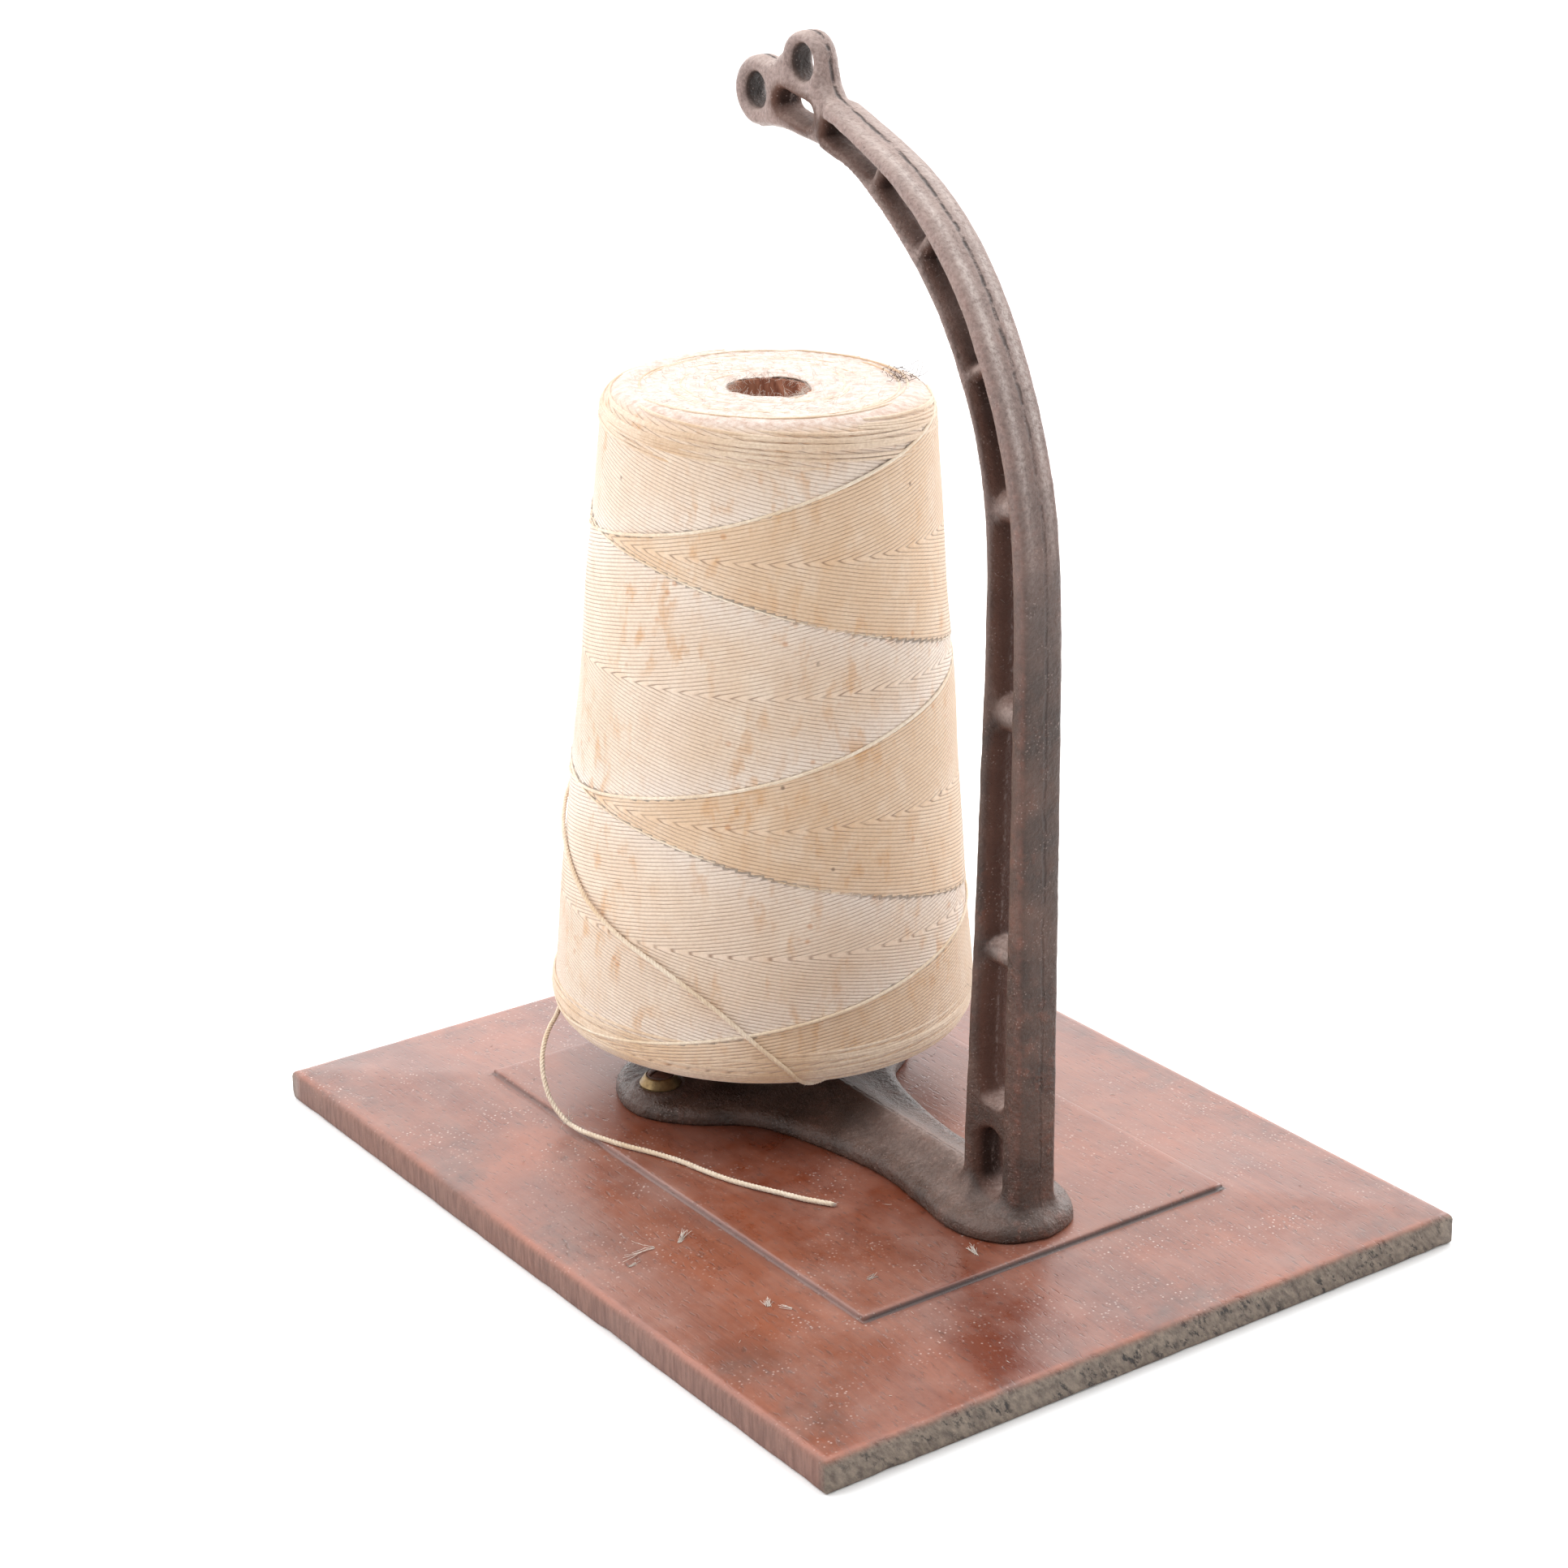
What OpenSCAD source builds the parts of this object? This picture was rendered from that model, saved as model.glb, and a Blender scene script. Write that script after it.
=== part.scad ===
// Twine stand: a cast-iron bracket on a raised-panel board holds a cone of
// twine on a peg. The arm arches over the cone and ends in two guide eyes.
// Frame: origin under the middle of the board, +Z up, column on the -Y side.

/* [Board] */
// Width of the board across the column
board_w = 260; // [240:1:300]
// Length of the board along the grain
board_l = 336; // [320:1:380]
// Thickness of the board at its edge
board_edge_t = 11.2; // [9:0.1:14]
// Height of the raised field's top
field_z = 16.9; // [16:0.1:20]
// Height of the step around the raised field
field_step = 1.8; // [1:0.1:2.5]
// Bevelled margin around the raised field
field_margin = 54.6; // [45:0.1:58]

/* [Bracket] */
// Sideways offset of the bracket from the board's middle
bracket_x = 4; // [0:0.5:8]
// Width of the arm's outer rail
rail_w = 16; // [14:0.5:18]
// Width of the arm's slotted web
web_w = 13; // [11:0.5:14]
// Width of the head that carries the guide eyes
head_w = 11.5; // [10:0.5:13]
// Radius of the upper guide eye's throat
upper_eye_r = 5.4; // [4.5:0.1:6]
// Radius of the lower guide eye's throat
lower_eye_r = 5.6; // [4.5:0.1:6.5]
// Length of each eye's cylindrical throat
throat_l = 5.5; // [4:0.5:6.5]
// Thickness of the bracket's foot plate
foot_t = 6.5; // [5:0.5:8]
// Height of the hub above the field
hub_h = 18.1; // [17:0.1:19]

/* [Peg and seat] */
// Distance of the peg behind the board's middle
peg_y = 55.2; // [50:0.1:60]
// Radius of the peg
peg_r = 4; // [3:0.1:5]
// Height of the peg's tip
peg_top = 108.5; // [80:0.5:112]
// Radial clearance of the seat on the peg
seat_gap = 0.06; // [0.03:0.01:0.1]

/* [Cone of twine] */
// Radius of the winding at its foot
wind_r0 = 76.6; // [70:0.1:78]
// Radius of the winding at its top
wind_r1 = 56.5; // [50:0.1:58]
// Height of the winding
wind_h = 230.4; // [205:0.1:232]
// Radius of the winding's rounded edges
wind_edge = 11; // [6:0.5:14]
// Lean of the cone on its seat, in degrees
cone_lean = 1.45; // [0:0.05:1.5]
// Inner radius of the paper core at its top
core_r1 = 13.5; // [12:0.1:15]
// Wall of the paper core
core_wall = 2; // [1.5:0.1:2.5]
// Diameter of the loose twine
twine_d = 1.9; // [1.5:0.1:2.2]

/* [Hidden] */
$fn = 72;
fit = 0.1;                       // hole larger than its screw, on the radius
foot_gap = 1.3;                  // cone's foot above the seat, at its middle
LEAN_AXIS = [0.58, 0.81, 0];      // the cone's top leans to +X and -Y
hub_z = field_z + hub_h;         // top of the hub
hub_r = 18;
washer_t = 1.2;
seat_z = hub_z + washer_t + 0.3; // underside of the seat
flange_t = 1.9;
core_z = seat_z + flange_t + foot_gap;
wind_z = core_z + 3.5;           // underside of the winding
wind_top = wind_z + wind_h;
taper = (wind_r0 - wind_r1) / wind_h;
foot_edge_r = wind_r0 - wind_edge - 1; // where the rounded foot edge starts
core_h = wind_top - 0.4 - core_z;
core_r0 = core_r1 + taper * core_h;
screw_r = 2.1;
screw_x = 47;                    // rear screws, from the bracket's plane
screw_y = 52;
pad_h = 8.5;                     // rear pads above the field
spot_r = 8.2;                    // flat cut on each pad for its washer
front_y = -86;                   // centre of the front lobe
front_screw_r = 2.4;
strand_d = 1.8;

// Side view of the arm, [y, z]: outer line, then inner line, foot to head
OUTER = [[-101.8, 17], [-102, 60], [-102, 120], [-102, 180], [-101.5, 230], [-98.7, 260], [-92.5, 284],
    [-83.7, 305], [-71.4, 326], [-54, 344], [-33.5, 356.5], [-14.4, 364], [4, 371.5]];
INNER = [[-70.5, 17], [-72.5, 60], [-75.9, 120], [-79, 180], [-81, 226], [-80.6, 254], [-76.5, 277],
    [-68.6, 297], [-56.4, 317.5], [-41.5, 333], [-25, 345.5], [-9, 354.3], [7, 360]];
// Slots of the arm, as stretches along those lines
SLOTS = [[0.98, 1.83], [1.97, 3.2], [3.42, 5.02], [5.4, 7], [7.22, 8.85], [9.1, 10.25], [10.5, 11.8]];
rail_part = 0.3;                 // outer rail's share of the arm's depth
inner_part = 0.84;               // where the inner rail starts
UPPER_EYE = [17.4, 385.8];
LOWER_EYE = [43.5, 373.8];

// Half outline of the foot plate, [x, y] from the bracket's plane
FOOT = [[0, -108.8], [14.6, -103.2], [22.4, -86], [20.4, -66], [17.5, -43], [19.4, -23], [25.6, 4],
    [33, 19], [46, 29], [57, 43], [59, 58], [51, 75], [36, 84], [18, 86.5], [0, 87]];

// Route of the outermost strand on the cone: [azimuth, height]
STRAND = [[118, 131], [123, 128.6], [131, 124.6], [143, 118.8], [158, 111], [175, 100.5], [191, 92.5],
    [208, 84], [223, 72.5], [234, 60.5], [240.5, 53], [245, 46.5]];
// Where it then runs under the cone's foot: [azimuth, radius]
UNDER = [[249.5, 69.5], [256, 64], [262, 59]];

// Route of the loose end, from under the cone to its cut end
LOOSE = [[-52.5, 101.5, 42.6], [-58, 95, 43.4], [-63, 89, 43.8], [-69, 84, 42.4], [-74, 79.4, 40],
    [-77.6, 75.4, 36.5], [-79.6, 72, 32.5], [-80.4, 69, 28.5], [-80.5, 66, 24.5], [-79.8, 62, 20.8],
    [-79, 57, 18.4], [-78, 49, 17.9], [-75.4, 40, 17.9], [-71.9, 30, 17.9], [-67.5, 20.5, 17.9],
    [-63.2, 9, 17.9], [-60.7, -2, 17.9], [-58, -11.5, 17.9], [-54.3, -20.5, 17.9], [-50, -29.5, 17.9],
    [-45.2, -39.5, 17.9], [-39.8, -48, 17.9]];

// A point of the smooth line through P, at u in stretches from its start
function on_curve(P, u) =
    let (n = len(P) - 1, i = min(floor(u), n - 1), t = u - i,
         a = P[max(i - 1, 0)], b = P[i], c = P[i + 1], d = P[min(i + 2, n)])
    0.5 * (2 * b + (c - a) * t + (2 * a - 5 * b + 4 * c - d) * t * t + (3 * b - a - 3 * c + d) * t * t * t);

function mix(a, b, k) = a + (b - a) * k;
function arm_point(s, k) = mix(on_curve(OUTER, s), on_curve(INNER, s), k);

// Outline of a stretch of the arm between two shares of its depth
function band(s0, s1, k0, k1, n) = concat(
    [for (i = [0:n]) arm_point(mix(s0, s1, i / n), k0)],
    [for (i = [n:-1:0]) arm_point(mix(s0, s1, i / n), k1)]);

// Outline of a slot with round ends
function slot(s0, s1, n) =
    let (mid = (rail_part + inner_part) / 2, half = (inner_part - rail_part) / 2)
    concat(
        [for (i = [0:n]) let (c = cos(180 * i / n)) arm_point(mix(s0, s1, 0.5 - 0.5 * c),
            mid - half * pow(1 - pow(abs(c), 5), 0.2))],
        [for (i = [n - 1:-1:1]) let (c = cos(180 * i / n)) arm_point(mix(s0, s1, 0.5 - 0.5 * c),
            mid + half * pow(1 - pow(abs(c), 5), 0.2))]);

// Radius, at height z, of a surface that lies a distance lay outside the winding
function skin_r(z, lay) = let (d = wind_z + wind_edge - z)
    d <= 0 ? wind_r0 - taper * (z - wind_z) + lay
           : foot_edge_r + sqrt(pow(wind_edge + lay, 2) - pow(d, 2));
// Height of the same surface under the foot, at radius r
function skin_z(r, lay) = let (d = max(r - foot_edge_r, 0))
    wind_z + wind_edge - sqrt(pow(wind_edge + lay, 2) - pow(d, 2));

// A tube swept along route R, with its ends closed
module tube(R, d, sides, per) {
    n = (len(R) - 1) * per;
    P = [for (i = [0:n]) on_curve(R, i / per)];
    rings = [for (i = [0:n])
        let (t = P[min(i + 1, n)] - P[max(i - 1, 0)], dir = t / norm(t),
             s = cross([0, 0, 1], dir), side = norm(s) < 0.2 ? [1, 0, 0] : s / norm(s), up = cross(dir, side))
        for (k = [0:sides - 1])
            P[i] + d / 2 * (cos(360 * k / sides) * side + sin(360 * k / sides) * up)];
    walls = [for (i = [0:n - 1]) for (k = [0:sides - 1])
        let (a = i * sides + k, b = i * sides + (k + 1) % sides) [a, a + sides, b + sides, b]];
    ends = [[for (k = [0:sides - 1]) k], [for (k = [sides - 1:-1:0]) n * sides + k]];
    polyhedron(rings, concat(walls, ends));
}

// Draws a side view, [y, z], as a plate of width w in the bracket's plane
module plate(w) {
    translate([bracket_x - w / 2, 0, 0]) rotate([90, 0, 90]) linear_extrude(w) children();
}

// Round hole along X with a cylindrical throat and rounded mouths
module eye_hole(c, r) {
    m = (head_w - throat_l) / 2;
    translate([bracket_x, c[0], c[1]]) rotate([0, 90, 0]) {
        cylinder(r = r, h = head_w + 8, center = true);
        for (side = [0, 1]) mirror([0, 0, side]) translate([0, 0, throat_l / 2])
            rotate_extrude() difference() {
                square([r + m, m + 3]);
                translate([r + m, 0]) circle(m);
            }
    }
}

module base_board() {
    field = [board_w - 2 * field_margin, board_l - 2 * field_margin];
    color("#b5776a") difference() {
        union() {
            hull() {
                translate([-board_w / 2, -board_l / 2, 0]) cube([board_w, board_l, board_edge_t]);
                translate([-field[0] / 2, -field[1] / 2, 0]) cube([field[0], field[1], field_z - field_step]);
            }
            translate([-field[0] / 2, -field[1] / 2, 1]) cube([field[0], field[1], field_z - 1]);
        }
        for (side = [-1, 1]) translate([bracket_x + side * screw_x, screw_y, 4.8])
            cylinder(r = screw_r + fit, h = 20);
        translate([bracket_x, front_y, -1]) {
            cylinder(r = front_screw_r + fit, h = 20);
            cylinder(r = 5.2, h = 4.4);
        }
    }
}

module foot_outline() {
    n = (len(FOOT) - 1) * 5;
    half = [for (i = [0:n]) on_curve(FOOT, i / 5)];
    polygon(concat(half, [for (i = [n - 1:-1:1]) [-half[i][0], half[i][1]]]));
}

// Slab with a roof-shaped section at y, for the rib between column and hub
module roof(y, w, h) {
    translate([bracket_x, y, field_z]) rotate([90, 0, 0]) linear_extrude(0.2)
        polygon([[-w, 2], [w, 2], [w, foot_t], [3, h], [-3, h], [-w, foot_t]]);
}

module bracket_solid() {
    translate([bracket_x, 0, field_z]) {
        linear_extrude(foot_t) foot_outline();
        translate([0, front_y, foot_t - 0.5]) cylinder(r1 = 20, r2 = 13, h = 6);
        translate([0, peg_y, 0]) cylinder(r = hub_r, h = hub_h);
    }
    hull() { roof(-66, 15, 12); roof(peg_y - 12, 15.5, 15); }
    for (side = [-1, 1]) hull() {
        translate([bracket_x, peg_y, field_z + 2]) cylinder(r = 14, h = 12, $fn = 32);
        translate([bracket_x + side * screw_x, screw_y, field_z + 2]) cylinder(r = 9, h = pad_h - 2, $fn = 32);
    }
    plate(web_w) {
        polygon(band(0, 12, 0, 1, 60));
        polygon([[-74, 25], [-74, 50], [-72, 45], [-69, 37], [-63, 31.5], [-54, 29]]);
    }
    plate(rail_w) polygon(band(0, 11, 0, rail_part, 60));
    plate(head_w) {
        polygon(concat(band(11.8, 12, 0, 1, 1), [[30, 363], [42, 362.5], [32, 384], [22, 380], [9, 383]]));
        translate(LOWER_EYE + [0, -0.8]) circle(11.2);
        translate(UPPER_EYE) circle(9.8);
        translate([35, 375]) circle(10);
    }
}

module stand_casting() {
    color("#5c4c48") difference() {
        bracket_solid();
        plate(30) {
            for (s = SLOTS) polygon(slot(s[0], s[1], 24));
            translate([-84.5, 37.5]) slot_foot();
            translate([21, 371]) rotate(14) slot_head();
        }
        eye_hole(UPPER_EYE, upper_eye_r);
        eye_hole(LOWER_EYE, lower_eye_r);
        translate([bracket_x, peg_y, field_z + 2]) cylinder(r = peg_r + 0.02, h = 40);
        for (side = [-1, 1]) translate([bracket_x + side * screw_x, screw_y, field_z - 1]) {
            cylinder(r = screw_r + fit, h = 20);
            translate([0, 0, 1 + pad_h]) cylinder(r = spot_r, h = 20);
        }
        translate([bracket_x, front_y, field_z - 1]) cylinder(r = front_screw_r + fit, h = 7.5);
    }
}

// Oval opening at the column's foot
module slot_foot() {
    translate([0, 4]) circle(8);
    translate([-8, -4]) square([16, 8]);
    translate([0, -4]) circle(8);
}

// Long opening between the two eyes and the arm's inner edge
module slot_head() {
    translate([7.5, 0]) circle(3.1);
    translate([-7.5, -3.1]) square([15, 6.2]);
    translate([-7.5, 0]) circle(3.1);
}

module rear_screw(side) {
    translate([bracket_x + side * screw_x, screw_y, field_z + pad_h]) color("#5a3f33") {
        difference() {
            rotate_extrude() polygon([[0, -19.5], [0.6, -19.5], [screw_r, -16], [screw_r, 0.65],
                [4.75, 3.3], [4.5, 3.9], [3.4, 4.6], [1.8, 5], [0, 5.1]]);
            translate([-6, -0.55, 3.8]) cube([12, 1.1, 3]);
        }
    }
}
module left_rear_screw() { rear_screw(-1); }
module right_rear_screw() { rear_screw(1); }

module cup_washer(side) {
    translate([bracket_x + side * screw_x, screw_y, field_z + pad_h]) color("#b08a45")
        rotate_extrude() polygon([[2.6, 0], [7.5, 0], [7.5, 0.6], [5.7, 3.2], [5.3, 3.5], [4.95, 3.4], [2.6, 1.05]]);
}
module left_cup_washer() { cup_washer(-1); }
module right_cup_washer() { cup_washer(1); }

module front_screw() {
    translate([bracket_x, front_y, 0]) color("#5a3f33") difference() {
        rotate_extrude() polygon([[0, 0.4], [4.7, 0.4], [4.7, 0.9], [front_screw_r, 3.2], [front_screw_r, 21.5],
            [1.6, 22.3], [0, 22.3]]);
        translate([-6, -0.6, 0]) cube([12, 1.2, 1.6]);
    }
}

module peg() {
    color("#8a8580") translate([bracket_x, peg_y, 0]) rotate_extrude()
        polygon([[0, field_z + 2.1], [peg_r, field_z + 2.1], [peg_r, peg_top - 6], [peg_r - 1, peg_top - 2.5],
            [peg_r - 2.5, peg_top - 0.5], [0, peg_top]]);
}

module thrust_washer() {
    color("#8a8580") translate([bracket_x, peg_y, hub_z]) difference() {
        cylinder(r = 11, h = washer_t);
        translate([0, 0, -1]) cylinder(r = peg_r + 0.3, h = washer_t + 2);
    }
}

module cone_seat() {
    floor_z = seat_z + flange_t;
    color("#4a403c") translate([bracket_x, peg_y, 0]) rotate_extrude()
        polygon([[peg_r + seat_gap, seat_z], [37.5, seat_z], [37.5, floor_z], [33, floor_z], [31.6, floor_z + 11.6],
            [29, floor_z + 11.6], [30.2, floor_z + 1], [10, floor_z + 1], [8.5, floor_z + 17.6],
            [peg_r + seat_gap, floor_z + 17.6]]);
}

// Places a piece of the cone, drawn about Z, on the seat with its lean
module on_seat() {
    translate([bracket_x, peg_y, wind_z]) rotate(a = cone_lean, v = LEAN_AXIS) translate([0, 0, -wind_z])
        children();
}

module paper_core() {
    color("#a9825b") on_seat() translate([0, 0, core_z]) rotate_extrude()
        polygon([[core_r0, 0], [core_r0 + core_wall, 0], [core_r1 + core_wall, core_h], [core_r1, core_h]]);
}

// Rounded corner of the winding's section, centred at [r, z]
function corner(r, z, a0, a1) = [for (i = [0:8]) let (a = mix(a0, a1, i / 8))
    [r + wind_edge * cos(a), z + wind_edge * sin(a)]];

module twine_winding() {
    in0 = core_r0 + core_wall - taper * (wind_z - core_z);
    in1 = in0 - taper * wind_h;
    color("#d9cbb0") on_seat() rotate_extrude($fn = 120)
        polygon(concat([[in0, wind_z]], corner(foot_edge_r, wind_z + wind_edge, -90, 5),
            corner(wind_r1 - wind_edge + 1, wind_top - wind_edge, 5, 90), [[in1, wind_top]]));
}

module outer_twine_strand() {
    // Clear of the winding by a hair, and then in under its rounded foot
    lay = strand_d / 2 + 0.15;
    on_side = [for (s = STRAND) let (r = skin_r(s[1], lay)) [r * cos(s[0]), r * sin(s[0]), s[1]]];
    under = [for (s = UNDER) [s[1] * cos(s[0]), s[1] * sin(s[0]), skin_z(s[1], lay)]];
    color("#e6dcc6") on_seat() tube(concat(on_side, under), strand_d, 8, 4);
}

module loose_twine_end() {
    color("#e6dcc6") tube(LOOSE, twine_d, 8, 2);
}

base_board();
stand_casting();
left_rear_screw();
right_rear_screw();
left_cup_washer();
right_cup_washer();
front_screw();
peg();
thrust_washer();
cone_seat();
paper_core();
twine_winding();
outer_twine_strand();
loose_twine_end();
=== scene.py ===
import math

import bpy
import numpy as np
import openvdb
from mathutils import Matrix, Vector, noise


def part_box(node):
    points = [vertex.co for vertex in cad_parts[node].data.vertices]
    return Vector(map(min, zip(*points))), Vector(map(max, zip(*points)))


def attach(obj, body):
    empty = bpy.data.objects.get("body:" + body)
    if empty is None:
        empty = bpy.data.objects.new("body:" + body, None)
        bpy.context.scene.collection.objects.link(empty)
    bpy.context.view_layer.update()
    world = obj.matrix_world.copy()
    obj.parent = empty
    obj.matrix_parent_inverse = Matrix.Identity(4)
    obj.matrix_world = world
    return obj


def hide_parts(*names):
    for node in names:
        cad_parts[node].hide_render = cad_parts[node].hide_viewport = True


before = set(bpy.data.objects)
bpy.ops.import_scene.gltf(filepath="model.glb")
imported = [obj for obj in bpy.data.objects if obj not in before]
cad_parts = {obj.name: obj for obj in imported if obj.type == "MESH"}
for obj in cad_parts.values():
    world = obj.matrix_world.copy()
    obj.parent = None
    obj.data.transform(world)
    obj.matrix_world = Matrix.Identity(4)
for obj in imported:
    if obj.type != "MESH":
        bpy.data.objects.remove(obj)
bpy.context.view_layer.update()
MM = 0.001
rng = np.random.default_rng(7)

# ---- places, in millimetres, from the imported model


def corner(node):
    lo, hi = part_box(node)
    return np.array(lo) / MM, np.array(hi) / MM


board_hi = corner("base_board")[1]
cast_lo, cast_hi = corner("stand_casting")
peg_lo, peg_hi = corner("peg")
FIELD_Z = float(board_hi[2])
PLANE_X = float(peg_lo[0] + peg_hi[0]) / 2
PEG_Y = float(peg_lo[1] + peg_hi[1]) / 2

# Side view of the arm, [y, z]: outer line, then inner line, foot to head
OUTER = [(-101.8, 17), (-102, 60), (-102, 120), (-102, 180), (-101.5, 230), (-98.7, 260), (-92.5, 284),
         (-83.7, 305), (-71.4, 326), (-54.6, 345), (-34.4, 358.8), (-15.6, 367.2), (2.6, 374.6)]
INNER = [(-70.5, 17), (-72.5, 60), (-75.9, 120), (-79, 180), (-81, 226), (-80.6, 254), (-76.5, 277),
         (-68.6, 297), (-56.4, 317.5), (-41.5, 333.4), (-25.5, 346.5), (-9.6, 355.5), (7, 360.4)]
# Each slot's start and end, counted in points along those lines; its sides, in parts of the way across
SLOTS = [(0.95, 1.79), (1.93, 3.16), (3.38, 5.02), (5.4, 7), (7.22, 8.85), (9.1, 10.25), (10.5, 12.1)]
RAIL_PART, INNER_PART = 0.3, 0.84
MIDDLE = (RAIL_PART + INNER_PART) / 2
UPPER_EYE, LOWER_EYE = (17.4, 385.8), (43.5, 373.8)
EYES = ((UPPER_EYE, 5.8), (LOWER_EYE, 5.7))      # with their radii
# Half of the foot's outline: [x from the arm's plane, y]
FOOT = [(0, -108.8), (14.6, -103.2), (22.4, -86), (20.4, -66), (17.5, -43), (19.4, -23), (25.6, 4),
        (33, 19), (46, 29), (57, 43), (59, 58), (51, 75), (36, 84), (18, 86.5), (0, 87)]

# The cone of twine: foot radius, top radius, height, rounded edge
WIND_Z, WIND_R0, WIND_R1, WIND_H, WIND_EDGE = 43.2, 76.6, 56.5, 230.4, 11.0
WIND_TOP = WIND_Z + WIND_H
TAPER = (WIND_R0 - WIND_R1) / WIND_H
CORE_R1, CORE_WALL, CORE_Z = 13.5, 2.0, 39.7
CORE_H = WIND_TOP - 0.4 - CORE_Z
CORE_R0 = CORE_R1 + TAPER * CORE_H
LEAN = Matrix.Rotation(math.radians(1.45), 4, Vector((0.58, 0.81, 0)))
ON_SEAT = (Matrix.Translation(Vector((PLANE_X, PEG_Y, WIND_Z))) @ LEAN
           @ Matrix.Translation(Vector((0, 0, -WIND_Z))))

# The outermost strand: [turn in degrees, height], then [turn, radius] under the cone
STRAND = [(118, 131), (123, 128.6), (131, 124.6), (143, 118.8), (158, 111), (175, 100.5), (191, 92.5),
          (208, 84), (223, 72.5), (234, 60.5), (240.5, 53), (245, 46.5)]
UNDER = [(249.5, 69.5), (256, 64), (262, 59)]
# The free end, from the cone to where it lies on the board
LOOSE = [(-52.5, 101.5, 42.6), (-58, 95, 43.4), (-63, 89, 43.8), (-69, 84, 42.4), (-74, 79.4, 40),
         (-77.6, 75.4, 36.5), (-79.6, 72, 32.5), (-80.4, 69, 28.5), (-80.5, 66, 24.5), (-79.8, 62, 20.8),
         (-79, 57, 18.4), (-78, 49, 17.9), (-75.4, 40, 17.9), (-71.9, 30, 17.9), (-67.5, 20.5, 17.9),
         (-63.2, 9, 17.9), (-60.7, -2, 17.9), (-58, -11.5, 17.9), (-54.3, -20.5, 17.9), (-50, -29.5, 17.9),
         (-45.2, -39.5, 17.9), (-39.8, -48, 17.9)]

# ---- shader helpers


def material(name):
    m = bpy.data.materials.new(name)
    m.use_nodes = True
    nt = m.node_tree
    return m, nt, nt.nodes["Principled BSDF"]


class Value:
    """A shader value: arithmetic on it adds the nodes."""

    def __init__(self, socket):
        self.socket, self.tree = socket, socket.id_data

    def __add__(self, other):
        return calc("ADD", self, other)

    def __sub__(self, other):
        return calc("SUBTRACT", self, other)

    def __mul__(self, other):
        return calc("MULTIPLY", self, other)


def feed(x, socket):
    """Joins a value to an input, or sets the input to a number or a colour."""
    if isinstance(x, Value):
        x.tree.links.new(x.socket, socket)
    else:
        socket.default_value = (*x, 1) if socket.type == "RGBA" else x


def node(nt, kind, **sets):
    """Adds a node. in_NAME feeds an input; anything else sets a property."""
    n = nt.nodes.new(kind)
    for k, x in sets.items():
        if k.startswith("in_"):
            feed(x, n.inputs[k[3:].replace("_", " ")])
        else:
            setattr(n, k, x)
    return n


def position(nt, scale=(1, 1, 1), turn=(0, 0, 0), of=None):
    """Object coordinates in metres, or another vector, stretched by scale and then turned."""
    of = of or Value(node(nt, "ShaderNodeTexCoord").outputs["Object"])
    mapping = node(nt, "ShaderNodeMapping", in_Vector=of, in_Scale=scale, in_Rotation=turn)
    return Value(mapping.outputs["Vector"])


def noise_tex(p, scale, detail=4, rough=0.55, distortion=0.0):
    return Value(node(p.tree, "ShaderNodeTexNoise", in_Vector=p, in_Scale=scale, in_Detail=detail,
                      in_Roughness=rough, in_Distortion=distortion).outputs["Fac"])


def cells(p, scale):
    """Distance to the nearest of many scattered points."""
    return Value(node(p.tree, "ShaderNodeTexVoronoi", in_Vector=p, in_Scale=scale).outputs["Distance"])


def level(fac, lo, hi, out_lo=0.0, out_hi=1.0):
    return Value(node(fac.tree, "ShaderNodeMapRange", in_Value=fac, in_From_Min=lo, in_From_Max=hi,
                      in_To_Min=out_lo, in_To_Max=out_hi).outputs["Result"])


def calc(op, a, b=None, clamp=False):
    n = node(a.tree, "ShaderNodeMath", operation=op, use_clamp=clamp)
    feed(a, n.inputs[0])
    if b is not None:
        feed(b, n.inputs[1])
    return Value(n.outputs[0])


def mixed(fac, a, b):
    """Colour a where fac is 0, colour b where it is 1: values, bytes of sRGB or linear parts."""
    n = node(fac.tree, "ShaderNodeMix", data_type="RGBA")
    feed(fac, n.inputs[0])
    for x, i in ((a, 6), (b, 7)):
        feed(srgb(*x) if isinstance(x, tuple) and max(x) > 1 else x, n.inputs[i])
    return Value(n.outputs[2])


def bump(shader, height, strength, distance):
    b = node(height.tree, "ShaderNodeBump", in_Strength=strength, in_Distance=distance, in_Height=height)
    feed(Value(b.outputs["Normal"]), shader.inputs["Normal"])


def attr(nt, name):
    return Value(node(nt, "ShaderNodeAttribute", attribute_name=name).outputs["Fac"])


def axis(vector, k):
    s = node(vector.tree, "ShaderNodeSeparateXYZ")
    feed(vector, s.inputs[0])
    return Value(s.outputs[k])


def finish_shader(sh, **inputs):
    for name, x in inputs.items():
        feed(x, sh.inputs[name.replace("_", " ")])


def srgb(r, g, b):
    return tuple(((c / 255 + 0.055) / 1.055) ** 2.4 if c > 10 else c / 255 / 12.92 for c in (r, g, b))


# ---- camera and light


def link(name, data):
    o = bpy.data.objects.new(name, data)
    bpy.context.scene.collection.objects.link(o)
    return o


# The camera, solved from the photo
cam_data = bpy.data.cameras.new("camera")
cam_data.lens = 78.51
cam_data.sensor_width = 36
cam_data.clip_start, cam_data.clip_end = 0.05, 20
right = Vector((0.8155, -0.5786, -0.0142)).normalized()
ahead = Vector((0.5371, 0.7658, -0.3538)).normalized()
upward = right.cross(ahead).normalized()
camera = link("camera", cam_data)
camera.matrix_world = Matrix((
    (right.x, upward.x, -ahead.x, -0.6396),
    (right.y, upward.y, -ahead.y, -0.8781),
    (right.z, upward.z, -ahead.z, 0.5563),
    (0, 0, 0, 1)))
bpy.context.scene.camera = camera


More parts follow.
